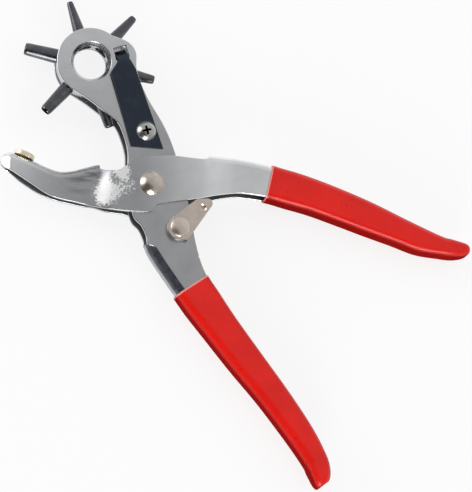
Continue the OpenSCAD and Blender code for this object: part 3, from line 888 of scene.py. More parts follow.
FINISHES = {
    # Mild steel sheet, pressed and nickel-plated: a bright soft mirror, with painted shade that greys it
    # towards the handle.
    Finish.SHEET: PlatedSteel("nickel_plated_frame", "#E8E9EB", "#DBDCDE", grey_patch="#D2D2D3",
                              grey_patch_at=(10.0, -30.0, 15.0), grey_patch_r=(40.0, 115.0)),
    # The same sheet, drawn out at the joggle: a mirror with a dimpled, frosted, streaky patch, painted white
    # there as a highlight, and greyer round the jaw.
    Finish.ARM: DrawnSteel("nickel_plated_arm", "#EEF0F2", "#E4E6E8", grey_patch="#C3C3C4",
                           grey_patch_at=(-20.0, -2.0, 13.0), grey_patch_r=(14.0, 46.0)),
    # The same sheet, stretched over the bend of the handle: a faint orange peel, greyed as painted shade on
    # the back that faces away from the light.
    Finish.BACK: PeeledSteel("peeled_and_shaded_back_of_fold", "#A6A7A8", "#838485", smooth=0.2, dull=0.3,
                             smudge_mm=2.5, drawn_at=(14.0, -40.0, 9.0), drawn_r=(40.0, 50.0),
                             peel_depth=0.03),
    # The tight bend itself: a dull blackish band beside the bright cheek, painted shade where the bend faces
    # the dark side of the room.
    Finish.FOLD: PlatedSteel("painted_shade_fold", "#6A6E75", "#484C53", smooth=0.42, dull=0.52,
                             grain_mm=0.8, grain_depth=0.004, smudge_mm=2.2),
    # Inside of the channels: a flat grey that hardly reflects, painted shade between the cheeks.
    Finish.INSIDE: PlatedSteel("painted_shade_inside_of_fold", "#A4A5A7", "#8C8D8F", smooth=0.36, dull=0.46,
                               grain_mm=0.6, grain_depth=0.002, smudge_mm=5.0),
    # Turned steel, plated: an even satin grey.
    Finish.RING: PlatedSteel("turned_plated_steel", "#C9CACD", "#B0B1B4", smooth=0.24, dull=0.34,
                             grain_mm=0.3, grain_depth=0.0015, smudge_mm=5.0),
    # Soft steel headed cold, nickel-plated: a warm pale dome with blurred highlights.
    Finish.RIVET: PlatedSteel("nickel_plated_rivet", "#D3CAC1", "#C3B8AE", smooth=0.24, dull=0.34,
                              grain_mm=0.3, grain_depth=0.001, smudge_mm=3.0),
    # Stamped steel plate, tumbled and plated: warm, pale and duller than the sheet.
    Finish.LEVER: PlatedSteel("dull_plated_lever", "#E2D5CA", "#D3C6BB", smooth=0.32, dull=0.42,
                              grain_mm=0.3, grain_depth=0.001, smudge_mm=4.0),
    # Hard-drawn spring wire: dark grey with fine drawing marks.
    Finish.WIRE: PlatedSteel("drawn_spring_wire", "#97979A", "#7C7C80", smooth=0.3, dull=0.45,
                             grain_mm=0.3, grain_depth=0.004, smudge_mm=2.0),
    # Spring steel strip, tempered blue: blue-black with a soft sheen.
    Finish.LEAF: DarkSteel("blued_spring_steel", "#3A414C", "#464D5A", smooth=0.25, dull=0.38),
    # Hardened tool steel, turned and oil-blackened: dark grey, brighter where it has worn.
    Finish.PUNCH: DarkSteel("blackened_tool_steel", "#626368", "#797A7E", smooth=0.19, dull=0.32),
    # Bore, inner end and shank of the same steel: nearly black, painted shade inside the bore and in the
    # head's hole.
    Finish.BORE: DarkSteel("painted_shade_in_bore", "#1B1B1D", "#2A2A2C", smooth=0.5, dull=0.63),
    # Cold-headed screw, zinc-plated: a cool pale metal, a little hazy.
    Finish.SCREW: PlatedSteel("zinc_plated_screw", "#C2C2C0", "#AFAFAD", smooth=0.22, dull=0.34,
                              grain_mm=0.25, grain_depth=0.001, smudge_mm=2.0),
    # Punched cross recess: black and dull, painted shade in the recess.
    Finish.RECESS: DarkSteel("painted_shade_in_recess", "#161617", "#242424", smooth=0.55, dull=0.68),
    # Brass bar, turned on a lathe: pale yellow with a satin face.
    Finish.BRASS: TurnedBrass(),
    # Plasticised PVC, dip-moulded: a strong red skin with a satin gloss, and painted shade that deepens it
    # round the sides.
    Finish.VINYL: SoftVinyl(),
    # The same PVC at the mouth: a pale matt edge, which is a painted highlight.
    Finish.LIP_HIGHLIGHT: SoftVinyl("painted_highlight_vinyl_edge", "#E89C94", "#DE8F87", "#C97A73"),
}


@dataclass
class Paints:
    """Builds each finish once, and gives it to the pieces."""

    made: dict[Finish, bpy.types.Material] = field(default_factory=dict)

    def get(self, finish: Finish) -> bpy.types.Material:
        """Gives the material of a finish, which is built when it is first asked for.

        Args:
            finish: The finish.

        Returns:
            Its material.
        """
        if finish not in self.made:
            self.made[finish] = FINISHES[finish].build()
        return self.made[finish]


def hand_over(piece: bpy.types.Object, body: str, finish: Finish, *nodes: str) -> None:
    """Makes a piece ride on its body in place of its CAD nodes.

    Args:
        piece: The finished piece.
        body: CAD body that carries it.
        finish: Its finish, which is not used.
        nodes: CAD nodes that it stands for.
    """
    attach(piece, body)
    finish.slot
    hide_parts(*nodes)
    LOG.info("%s rides on %s with %d faces", piece.name, body, len(piece.data.polygons))


# ---------- Folded sheet ----------

@dataclass(frozen=True)
class FoldedSheet:
    """A channel folded from sheet: a back, two cheeks, and open edges rounded by deburring."""

    sheet: float = TOOL.sheet
    rim: float = 0.3
    fold_steps: int = 10
    # Points of a section at which its inner side starts, and the faces of its fold and its back
    inside_from: int = 32
    cheek_inside_from: int = 15
    fold_faces: range = range(6, 13)
    back_faces: range = range(13, 24)

    def outside(self, ring: int, k: int) -> int:
        """Number of the material of an outer face: 2 on the flat back, 3 on the fold to the upper cheek."""
        if k in self.fold_faces:
            return 3
        return 2 if k in self.back_faces else 0

    def rim_arc(self, depth: float, z: float, way: int) -> list[Point2]:
        """Quarter round at a corner of an open edge.

        Args:
            depth: Depth of the corner.
            z: Height of the corner.
            way: 1 on the outside of the sheet and -1 on its inside.

        Returns:
            Points from the edge towards the cheek.
        """
        r = self.rim
        return [(depth + r * (1 - math.cos(a)), z - way * r * (1 - math.sin(a)))
                for a in (math.pi / 2 * k / (RIM_POINTS - 1) for k in range(RIM_POINTS))]

    def section(self, back: float, edge: float, h: float, r: float, web: float | None = None,
                thin: float = 0.0) -> list[Point2]:
        """Closed section of the channel.

        Args:
            back: Place of the back, across the handle.
            edge: Place of the open edges.
            h: Half depth over the cheeks.
            r: Outer radius of the folds.
            web: Thickness of the back, where it isn't the sheet's.
            thin: Amount that the inside is moved outwards.

        Returns:
            Points of (across, z).
        """
        t = self.sheet - thin
        way = 1 if back > edge else -1
        deep = abs(back - edge)
        outer_r = min(r, deep)
        inner_r = max(outer_r - t, 0.2)
        arcs = [math.pi / 2 * k / self.fold_steps for k in range(self.fold_steps + 1)]
        cheek = deep * 0.35 if deep - outer_r > deep * 0.35 + 0.1 else self.rim + 0.01
        rim = self.rim_arc(0, h, 1) + [(cheek, h)]
        rim += [(deep - outer_r + outer_r * math.sin(a), h - outer_r + outer_r * math.cos(a)) for a in arcs]
        floor = deep - (self.sheet if web is None else web)
        bay = [(min(p[0], max(floor, 0.1)), p[1]) for p in self.rim_arc(0, h - t, -1)]
        bay += [(max(floor - inner_r + inner_r * math.sin(a), 0.1), h - t - inner_r + inner_r * math.cos(a))
                for a in arcs]
        loop = rim + [(d, -z) for d, z in rim[::-1]] + [(d, -z) for d, z in bay] + bay[::-1]
        return [(edge + way * d, z) for d, z in loop]

    def cheek_section(self, back: float, edge: float, h: float, r: float, top: float) -> list[Point2]:
        """Section of the upper cheek alone, where the back is cut away.

        Args:
            back: Place where the back would be.
            edge: Place of the open edge.
            h: Half depth over the cheeks.
            r: Outer radius of the folds.
            top: Place of the cut.

        Returns:
            Points of (across, z).
        """
        t, deep, cut = self.sheet, back - edge, top - edge
        inner_r = r - t

        def fall(depth: float, start: float, radius: float) -> float:
            """Drop of a fold's surface at a depth."""
            past = min(max(depth - start, 0.0), radius)
            return radius - math.sqrt(radius * radius - past * past)

        depths = [self.rim + (cut - 2 * self.rim) * k / 8 for k in range(1, 9)]
        turns = [math.pi / 2 * k / (RIM_POINTS - 1) for k in range(1, RIM_POINTS)]
        outer = self.rim_arc(0, h, 1) + [(depth, h - fall(depth, deep - r, r)) for depth in depths]
        z_end = outer[-1][1]
        outer += [(cut - self.rim + self.rim * math.sin(a), z_end - self.rim * (1 - math.cos(a)))
                  for a in turns]
        inner = [(d, min(z, h - t + self.rim)) for d, z in self.rim_arc(0, h - t, -1)]
        inner += [(depth, h - t - fall(depth, deep - r, inner_r)) for depth in depths]
        z_end = inner[-1][1]
        inner += [(cut - self.rim + self.rim * math.sin(a), z_end + self.rim * (1 - math.cos(a)))
                  for a in turns]
        return [(edge + d, z) for d, z in outer + inner[::-1]]


FOLD = FoldedSheet()


# ---------- Handles and grips ----------

@dataclass(frozen=True)
class Handle:
    """Lines of a folded handle that its grip follows, in millimetres along and across it."""

    back: list[Point2]
    edge: list[Point2]
    mouth: float
    lean: float
    tip: float
    edge_relief: float = 1.4
    grip_blend: float = 10.0
    grip_end: float = 8.0
    tip_l: float = 10.0

    def relief(self, s: float) -> float:
        """How far the open edges have drawn back at s."""
        return self.edge_relief * ease((s - self.mouth) / self.grip_blend)

    @property
    def way(self) -> int:
        """1 where the back lies above the open edges, and -1 below."""
        return 1 if self.back[3][1] > self.edge[3][1] else -1

    def steel_edge(self, s: float) -> float:
        """Place of the steel's open edges at s."""
        return curve(self.edge, s) + self.way * self.relief(s)


# The lower handle lies along its own axis from its root, with its open edges above its back
LOWER = Handle(
    back=[(-1, -2.2), (3, -3.2), (12, -3.8)] + stretch(24.6, 124, [
        (0, -4.1), (0.2, -3.5), (0.38, -2.9), (0.56, -1.8), (0.74, -1.6), (0.86, -1.9), (0.93, -2.7),
        (1, -5)]),
    edge=[(-1, 19.6), (8, 16.4), (18, 12.3)] + stretch(24.6, 124, [
        (0, 10.7), (0.18, 9.2), (0.36, 8.8), (0.62, 8.4), (0.8, 7.2), (0.92, 5), (1, 3.2)]),
    mouth=24.6, lean=0.4, tip=124)

# Ends of the stretch where the upper handle's back is cut away
WEB_STOP, WEB_START = -21.6, 24.4
# Ends of the flat seat of the anvil pad, and the tip of the jaw
SEAT_HALF = TOOL.pad_d / 2 + 0.5
SEAT_LEFT, SEAT_RIGHT = TOOL.seat_point(-SEAT_HALF, 0), TOOL.seat_point(SEAT_HALF, 0)
NOSE_X = TOOL.seat_point(-8.9, -6.1)[0]

# The upper handle and the jaw are one part, which lies along the row's first axis
UPPER = Handle(
    back=[TOOL.seat_point(-8.9, -6.1), TOOL.seat_point(-8.95, -3.9), TOOL.seat_point(-8.1, -1.8),
          SEAT_LEFT, SEAT_RIGHT]
    + stretch(SEAT_RIGHT[0], WEB_STOP, [(0.21, 6.5), (0.4, 5.1), (0.58, 5.5), (0.77, 7), (1, 8.6)])
    + [(-15, 9.2), (-10, 12), (-5, 14.6), (2, 15.8), (12, 15.6), (20, 13.7), (WEB_START, 13), (36, 12.3)]
    + stretch(50.2, 136, [(0, 9.8), (0.09, 7.4), (0.2, 4.6), (0.33, 0.7), (0.51, -5.5), (0.73, -14.3),
                          (0.9, -20.4), (1, -21.6)]),
    edge=[TOOL.seat_point(-8.6, -6.7), TOOL.seat_point(-7.2, -7.4), TOOL.seat_point(-3.4, -7.7),
          TOOL.seat_point(5.5, -9.5)]
    + stretch(SEAT_RIGHT[0], WEB_STOP, [(0.21, -5.4), (0.4, -7.1), (0.64, -8.4), (0.88, -9.9)])
    + [(-18.8, -11.3), (-11.5, -12.1), (-2, -12.3), (0.2, -11.7), (1.8, -9.2), (4, -8.4), (13.9, -6.7),
       (23.2, -5), (28, -3.9), (36, -2.7), (42, -3)]
    + stretch(50.2, 136, [(0, -4.1), (0.08, -5.6), (0.2, -8.2), (0.34, -12.2), (0.48, -16.4), (0.62, -20.4),
                          (0.74, -24), (0.86, -25.4), (1, -26.9)]),
    mouth=50.2, lean=1.6, tip=136)


@dataclass
class Grip:
    """A moulded grip pushed over a folded handle."""

    name: str
    node: str
    body: str
    handle: Handle
    wall: float = 1.2
    mouth_wall: float = 0.8
    fit: float = 0.05
    seam: float = 0.5
    mouth_r: float = 2.8
    corner_r: float = 3.2
    lean_run: float = 25.0
    # Bulge of the mouth's rim, and its rings as shares of the wall and of the bulge
    lip: float = 0.45
    lip_steps: tuple[Point2, ...] = ((0.75, 0.6), (0.4, 1.0), (0.12, 0.7))
    # How the end closes: at its back, at its open side and in its depth
    end_drop: float = 1.2
    end_rise: float = 3.8
    end_thinning: float = 3.2
    end_angles: tuple[int, ...] = (12, 24, 35, 45, 54, 62, 69, 75, 80, 85)

    def sleeve(self, top: float, bottom: float, h: float, top_r: float, bottom_r: float) -> list[Point2]:
        """Section with one corner radius at its top and one at its bottom.

        Args:
            top: Upper end of the section.
            bottom: Lower end of the section.
            h: Its half depth.
            top_r: Corner radius at the top.
            bottom_r: Corner radius at the bottom.

        Returns:
            Points of (across, z).
        """
        corners = [(top - top_r, top_r - h, top_r, 0), (bottom + bottom_r, bottom_r - h, bottom_r, 270),
                   (bottom + bottom_r, h - bottom_r, bottom_r, 180), (top - top_r, h - top_r, top_r, 90)]
        return [(y + r * math.cos(a), z + r * math.sin(a)) for y, z, r, start in corners
                for a in (math.radians(start - 90 * k / 9) for k in range(10))]

    def ring(self, s: float, out: float, edge_out: float, back_r: float, edge_r: float,
             shift: float = 0.0) -> list[Point3]:
        """Ring round the handle.

        Args:
            s: Place along the handle.
            out: Distance outside its cheeks and its back.
            edge_out: Distance outside its open edges.
            back_r: Corner radius at the back.
            edge_r: Corner radius at the open edges.
            shift: Amount that the ring is moved along the handle.

        Returns:
            Points of (along, across, z).
        """
        handle, way = self.handle, self.handle.way
        lean = handle.lean * (1 - ease((s - handle.mouth) / self.lean_run))
        back = curve(handle.back, s + way * lean) + way * out
        edge = curve(handle.edge, s - way * lean) - way * edge_out
        h = TOOL.frame_h + out
        if way > 0:
            points = self.sleeve(back, edge, h, back_r, edge_r)
        else:
            points = self.sleeve(edge, back, h, edge_r, back_r)
        run = abs(back - edge)
        return [(s + shift + lean * (2 * y - back - edge) / run, y, z) for y, z in points]

    def skin(self, s: float, drop: float = 0.0, shift: float = 0.0) -> list[Point3]:
        """Ring of the outside.

        Args:
            s: Place along the handle.
            drop: Amount that the ring is drawn in.
            shift: Amount that it is moved along the handle.

        Returns:
            Points of (along, across, z).
        """
        k = ease((s - self.handle.mouth) / self.handle.grip_blend)
        out = self.mouth_wall + (self.wall - self.mouth_wall) * k - drop
        corner = self.mouth_r + (self.corner_r - self.mouth_r) * k
        return self.ring(s, out, out, TOOL.fold_r + out, corner, shift)

    def socket(self, s: float) -> list[Point3]:
        """Ring of the inside at s."""
        return self.ring(s, self.fit, self.seam - self.handle.relief(s), TOOL.fold_r + self.fit, self.seam)

    def end_ring(self, angle: float, shrink: float = 1.0) -> list[Point3]:
        """Ring of the rounded end.

        Args:
            angle: Angle round the end, from 0 where it starts to 90 at the tip.
            shrink: Share of the full ring that is left.

        Returns:
            Points of (along, across, z).
        """
        handle, way = self.handle, self.handle.way
        s = handle.tip - handle.tip_l + handle.tip_l * math.sin(math.radians(angle))
        g = 1 - math.cos(math.radians(angle))
        back = curve(handle.back, s) + way * (self.wall - self.end_drop * g * (1 + g))
        edge = curve(handle.edge, s) - way * (self.wall - self.end_rise * g)
        middle, half = (back + edge) / 2, abs(back - edge) / 2 * shrink
        h = (TOOL.frame_h + self.wall - self.end_thinning * g) * shrink
        r = min(self.corner_r, half - 0.02, h - 0.02)
        return [(s, y, z) for y, z in self.sleeve(middle + half, middle - half, h, r, r)]

    def build(self, paints: Paints) -> None:
        """Builds the grip and hands it over.

        Args:
            paints: The finishes.
        """
        handle = self.handle
        end, stop = handle.tip - handle.tip_l, handle.tip - handle.grip_end
        outside = [handle.mouth + u for u in (0.3, 1, 2, 3.5, 5, 7, 9)] + spaced(handle.mouth + 11, end, 2.2)
        inside = spaced(handle.mouth + 1, stop, 4.0) + [stop]
        lip = [self.skin(handle.mouth, self.mouth_wall - self.fit)]
        lip += [self.skin(handle.mouth, self.mouth_wall * drop, -self.lip * out)
                for drop, out in self.lip_steps]
        rings = [self.socket(s) for s in inside[::-1]] + lip + [self.skin(s) for s in outside + [end]]
        rings += [self.end_ring(a) for a in self.end_angles]
        rings += [self.end_ring(86, 0.8), self.end_ring(87, 0.45)]
        # Rings of the mouth's rim, painted pale as a highlight
        painted_highlight = range(len(inside) - 1, len(inside) + len(lip))
        bm = bmesh.new()
        add_loft(bm, rings, self.place, paint=lambda ring, k: int(ring in painted_highlight))
        piece = piece_from(self.name, bm, paints.get(Finish.VINYL), paints.get(Finish.LIP_HIGHLIGHT))
        hand_over(piece, self.body, Finish.VINYL, self.node)

    def place(self, s: float, y: float, z: float) -> Vector:
        """Turns a place on the handle into a row point.

        Args:
            s: Place along the handle.
            y: Place across it.
            z: Height over the middle plane.

        Returns:
            The row point.
        """
        if self.handle is LOWER:
            x, y = TOOL.lower_point(s, y)
            return row_point(x, y, z)
        return row_point(s, y, z)


# ---------- Frame ----------

@dataclass
class TurretFrame:
    """The pressed frame: two cheeks with a round head, collars that carry the turret, folded handle."""

    rim: float = 0.35
    collar_l: float = 2.55
    flat_r: float = 10.1
    # Distance of the window from the turret's axis, its length and its half width
    window: Point3 = (10.475, 5.5, 2.75)
    window_angle: float = 18.0
    window_rim: float = 2.3
    window_corner: float = 0.5
    # Cone at the mouth of each collar
    cone_w: float = 1.72
    cone_lean: float = 55.0
    cone_soft: float = 0.45
    # Where the plates end on the handle, and how it starts under them
    handle_root: float = 16.0
    root_round: float = 0.3
    root_lap: float = 0.4
    skin_gap: float = 0.02
    fold_r: float = 4.5

    def outline(self) -> list[Point2]:
        """Outline of a cheek: a round head, a neck that narrows, and the root of the handle.

        Returns:
            Points of (x, y).
        """
        head, neck, lower = TOOL.head_point, TOOL.neck_point, TOOL.lower_point
        right = through([
            head(0.62, 0.72), head(0.25, 1.09), head(0.01, 1.27), head(-0.32, 1.31), head(-0.83, 1.09),
            neck(0.588, 0.94), neck(0.337, 1), neck(0.11, 0.93), neck(-0.242, 0.66),
            lower(9, 16.1), lower(16, 13)])
        left = through([
            lower(16, 0.4), lower(4, 0.6), lower(-0.5, -1.6), lower(-3.6, -0.1), lower(-8.2, 0.9),
            neck(-0.149, -0.82), neck(0.081, -0.61), neck(0.213, -0.33), neck(0.301, -0.18),
            neck(0.398, -0.1), neck(0.505, -0.08), neck(0.571, -0.18), neck(0.666, -0.35),
            head(-0.95, -0.58), head(-0.55, -0.83)])
        centre = Vector(TOOL.head)
        kept = [p for p in right + left if (Vector(p) - centre).length > TOOL.head_r + 0.05]
        first, last = Vector(kept[0]) - centre, Vector(kept[-1]) - centre
        start = math.atan2(last.y, last.x)
        turn = (start - math.atan2(first.y, first.x)) % (2 * math.pi)
        n = 48
        arc = [tuple(centre + TOOL.head_r * Vector((math.cos(a), math.sin(a))))
               for a in (start - turn * k / n for k in range(1, n))]
        return kept + arc

    def free_rim(self, p: Point2) -> float:
        """How rounded the rim is at a point: more at the window, and not at the handle and the collar.

        Args:
            p: The point.

        Returns:
            Share of the rim's radius.
        """
        along, across = turned((p[0], p[1] + TOOL.root_drop), -TOOL.lower_angle)
        out = turned((p[0] - TOOL.head[0], p[1] - TOOL.head[1]), -self.window_angle)
        reach, length, half = self.window
        if reach + 1 < out[0] < reach + length + 0.1 and abs(out[1]) < half + 0.1:
            return self.window_rim
        at_collar = math.hypot(*out) < self.flat_r + 0.2
        at_handle = along > self.handle_root - 0.8 or along > 3.5 and across < 3
        return 0.0 if at_collar or at_handle else 1.0

    def cheeks(self, bm: bmesh.types.BMesh) -> None:
        """Adds both cheeks, the upper one with the window for the detent spring.

        Args:
            bm: Mesh that receives the faces.
        """
        hole = [plus(TOOL.head, turned((self.flat_r, 0), 360 * k / 96)) for k in range(96)]
        reach, length, half = self.window
        soft = self.window_corner
        corners = [(reach, -half), (reach + length, -half), (reach + length, half), (reach, half)]
        window = []
        for i, (x, y) in enumerate(corners):
            cx, cy = x + (soft if i in (0, 3) else -soft), y + (soft if i in (0, 1) else -soft)
            for k in range(5):
                a = math.radians(180 + 90 * i + 22.5 * k)
                window.append(plus(TOOL.head, turned((cx + soft * math.cos(a), cy + soft * math.sin(a)),
                                                     self.window_angle)))
        inner = TOOL.frame_h - TOOL.sheet
        add_plate(bm, [self.outline(), hole, window], inner, TOOL.frame_h, self.rim, self.free_rim, 0)
        add_plate(bm, [self.outline(), hole], -TOOL.frame_h, -inner, self.rim, self.free_rim, 1)

    def collars(self, bm: bmesh.types.BMesh) -> None:
        """Adds the two collars drawn inwards from the cheeks, each with a cone at its mouth.

        Args:
            bm: Mesh that receives the faces.
        """
        h, inner, r, out = TOOL.frame_h, TOOL.frame_h - TOOL.sheet, TOOL.hole_r, TOOL.hole_r + TOOL.sheet
        low, soft = h - self.collar_l, self.cone_soft
        round_over = [math.radians(self.cone_lean) * k / 6 for k in range(7)]
        profile = [(self.flat_r, inner), (self.flat_r, h)]
        profile += [(r + self.cone_w - soft * math.sin(a), h - soft + soft * math.cos(a)) for a in round_over]
        profile += [(r + 0.14, h - 2.0), (r + 0.05, h - 2.15)]
        profile += [(r, low + 0.3), (r + 0.1, low + 0.08), (r + 0.35, low)]
        profile += [(out - 0.35, low), (out - 0.1, low + 0.08), (out, low + 0.3)]
        profile += [(out, inner - 0.25), (out + 0.08, inner - 0.06), (out + 0.25, inner)]
        for side in (1, -1):
            add_lathe(bm, profile, lambda x, y, z, side=side: row_point(
                TOOL.head[0] + x, TOOL.head[1] + y, side * z))

    def handle(self, bm: bmesh.types.BMesh) -> None:
        """Adds the folded handle, whose cheeks lie a hair under the plates at its root.

        Args:
            bm: Mesh that receives the faces.
        """
        root, last = self.handle_root, LOWER.tip - LOWER.grip_end
        at = [-1.0, -0.85, -0.5, 0] + spaced(0.7, root - 0.1, 1.2)
        at += [root + u for u in (-0.05, 0.05, 0.3, 0.7, 1.2)] + spaced(root + 2, 24, 1.2)
        at += spaced(24, last, 4) + [last]
        rings = []
        for s in at:
            under = 1 - ease(s - root)
            near = min(max((-0.4 - s) / 0.6, 0), 1)
            start = self.root_round * (1 - math.sqrt(1 - near ** 2))
            edge = LOWER.steel_edge(s) - self.root_lap * under
            h = TOOL.frame_h - self.skin_gap * under - start
            section = FOLD.section(curve(LOWER.back, s) + start, edge, h, self.fold_r,
                                   thin=2 * self.skin_gap * under)
            rings.append([(s, y, z) for y, z in section])
        add_loft(bm, rings, lambda s, y, z: row_point(*TOOL.lower_point(s, y), z), FOLD.inside_from,
                 FOLD.outside)

    def build(self, paints: Paints) -> None:
        """Builds the frame and hands it over.

        Args:
            paints: The finishes.
        """
        bm = bmesh.new()
        self.cheeks(bm)
        self.collars(bm)
        self.handle(bm)
        # The inside, the back and the fold take finishes of painted shade
        finishes = (Finish.SHEET, Finish.INSIDE, Finish.BACK, Finish.FOLD)
        piece = piece_from("pressed_turret_frame", bm, *[paints.get(finish) for finish in finishes])
        hand_over(piece, "frame", Finish.SHEET, "turret_frame")


# ---------- Anvil arm ----------

@dataclass
class AnvilArm:
    """The folded arm: rounded nose, narrow jaw, joggled cheeks astride the frame, handle."""

    nose_cut: float = 0.9
    # The jaw narrows to its nose: shares of the full depth, by the distance from the nose's end
    nose_l: float = 4.2
    nose_shape: list[Point2] = field(default_factory=lambda: [
        (0, 0.14), (0.06, 0.22), (0.2, 0.3), (0.45, 0.38), (0.8, 0.44), (1.5, 0.53), (3.6, 0.95), (3.9, 0.98),
        (4.2, 1)])
    # Height and length of the nose's rounded corners
    back_round: Point2 = (0.9, 1.8)
    edge_round: Point2 = (1.8, 2.6)
    nose_wall: float = 30.0
    # The far cheek's open edge lies lower at the jaw and higher at the crossing: starts and lengths
    far_drop: float = 1.1
    far_rise: float = 1.3
    far_turns: tuple[Point2, ...] = ((-61.0, 7.0), (-50.0, 9.0), (-30.0, 9.0), (-12.0, 7.0))
    # Middle of the joggle, and its length at the top and lower down
    joggle_at: Point2 = (-20.0, -1.0)
    joggle_l: Point2 = (10.0, 9.5)
    joggle_slant: float = 0.24
    # Where it starts to change its length, and over which distance; extra length at its lower end
    joggle_spread: Point2 = (3.0, 7.0)
    joggle_fade: Point2 = (4.0, 9.0)
    jaw_fold_r: float = 3.8
    crossing_fold_r: float = 2.4
    handle_fold_r: float = 3.0
    fold_runs: Point2 = (6.0, 20.0)
    waist_start: float = 20.5
    waist_end: float = 36.0
    # Edge of the cheeks where the back is cut away
    crossing: list[Point2] = field(default_factory=lambda: [
        (WEB_STOP + 0.3, 6.2), (-19.2, 5.4), (-15.5, 5.2), (-12.8, 6), (-10.4, 7.9), (-7.4, 10.2), (-2, 11.3),
        (4, 11.9), (10.3, 12), (16, 11.5), (22, 11.1), (WEB_START - 0.5, 11.6)])

    def half_depth(self, x: float, y: float) -> float:
        """Half depth of the arm over its cheeks: the joggle runs aslant and widens downwards.

        Args:
            x: Place along the arm.
            y: Place across it.

        Returns:
            The half depth.
        """
        if x < 0:
            top, bottom = self.joggle_l
            start, length = self.joggle_spread
            width = top + (bottom - top) * ease((start - y) / length)
            extra, drop = self.joggle_fade
            width += extra * max((self.joggle_at[1] - y) / drop, 0) ** 2
            middle = self.joggle_at[0] + self.joggle_slant * (y - self.joggle_at[1])
            return TOOL.jaw_h + (TOOL.cross_h - TOOL.jaw_h) * ease((x - middle) / width + 0.5)
        fall = ease((x - self.waist_start) / (self.waist_end - self.waist_start))
        return TOOL.cross_h - (TOOL.cross_h - TOOL.frame_h) * fall

    def fold_radius(self, x: float) -> float:
        """Outer radius of the folds, which change over where the back is cut away.

        Args:
            x: Place along the arm.

        Returns:
            The radius.
        """
        along, least = x - WEB_STOP, self.crossing_fold_r
        jaw_run, handle_run = self.fold_runs
        jaw = (self.jaw_fold_r - least) * (1 - ease(along / jaw_run))
        return least + jaw + (self.handle_fold_r - least) * ease(along / handle_run)

    def shaped(self, x: float, section: list[Point2], side: int = 1) -> list[Point3]:
        """Ring at x whose cheeks follow the joggle.

        Args:
            x: Place along the arm.
            section: Points of (across, z) for cheeks at a half depth of cross_h.
            side: 1 for a section as it is, and -1 for one mirrored to the lower side.

        Returns:
            Points of (x, across, z).
        """
        taper = 1.0
        if x < WEB_STOP:
            taper = curve(self.nose_shape, min(x - NOSE_X - self.nose_cut, self.nose_l))
        return [(x, y, side * taper * (z - math.copysign(TOOL.cross_h - self.half_depth(x, y), z)))
                for y, z in section]

    def nose_turn(self, x: float, corner: Point2) -> float:
        """How far a rounded corner of the nose has drawn in.

        Args:
            x: Place along the arm.
            corner: Height and length of the rounded corner.

        Returns:
            The full height at the nose's end and 0 behind the corner.
        """
        height, length = corner
        u = min(max((NOSE_X + self.nose_cut + length - x) / length, 0), 1)
        return height * (1 - math.sqrt(1 - u * u))

    def channel_ring(self, x: float) -> list[Point3]:
        """Ring of the folded channel, closed by a wall at the nose.

        Args:
            x: Place along the arm.

        Returns:
            Points of (x, across, z).
        """
        web = self.nose_wall if x < NOSE_X + self.nose_cut + TOOL.sheet else None
        back = curve(UPPER.back, x) - self.nose_turn(x, self.back_round)
        edge = UPPER.steel_edge(x) + self.nose_turn(x, self.edge_round)
        drop = self.far_shift(x) / (back - edge)
        section = FOLD.section(back, edge, TOOL.cross_h, self.fold_radius(x), web)
        return self.shaped(x, [(y - drop * (back - y) if z < 0 else y, z) for y, z in section])

    def far_shift(self, x: float) -> float:
        """How much lower than the near cheek's the far cheek's open edge lies.

        Args:
            x: Place along the arm.

        Returns:
            The distance, which is negative where the far edge lies higher.
        """
        down, back, up, end = [ease((x - start) / length) for start, length in self.far_turns]
        return self.far_drop * down * (1 - back) - self.far_rise * up * (1 - end)

    def cheek_ring(self, x: float, side: int) -> list[Point3]:
        """Ring of one cheek, where the back is cut away.

        Args:
            x: Place along the arm.
            side: 1 for the near cheek and -1 for the far one.

        Returns:
            Points of (x, across, z).
        """
        edge = curve(UPPER.edge, x) - (self.far_shift(x) if side < 0 else 0.0)
        return self.shaped(x, FOLD.cheek_section(curve(UPPER.back, x), edge, TOOL.cross_h,
                                                 self.fold_radius(x), curve(self.crossing, x)), side)

    def build(self, paints: Paints) -> None:
        """Builds the arm and hands it over.

        Args:
            paints: The finishes.
        """
        bm = bmesh.new()
        nose = [NOSE_X + self.nose_cut + u
                for u in (0, 0.06, 0.2, 0.45, 0.8, 1.2, 1.6, 1.79, 1.81, 2.2, 2.7, 3.2, 3.7, 4.2)]
        jaw = nose + spaced(NOSE_X + 5.2, WEB_STOP, 0.6) + [WEB_STOP]
        add_loft(bm, [self.channel_ring(x) for x in jaw], inside_from=FOLD.inside_from)
        between = spaced(WEB_STOP - 0.01, WEB_START + 0.01, 0.6) + [WEB_START + 0.01]
        for side in (1, -1):
            add_loft(bm, [self.cheek_ring(x, side) for x in between], inside_from=FOLD.cheek_inside_from)
        last = UPPER.tip - UPPER.grip_end
        handle = spaced(WEB_START, 50, 0.9) + spaced(50, last, 4) + [last]
        add_loft(bm, [self.channel_ring(x) for x in handle], inside_from=FOLD.inside_from)
        # Its inner faces take the painted shade of the inside
        piece = piece_from("folded_anvil_arm", bm, paints.get(Finish.ARM), paints.get(Finish.INSIDE))
        hand_over(piece, "anvil_arm", Finish.ARM, "anvil_arm")
        pad = softened_copy("brass_anvil", "anvil_pad", paints.get(Finish.BRASS), 0.25)
        hand_over(pad, "anvil_arm", Finish.BRASS, "anvil_pad")


# ---------- Turret ----------

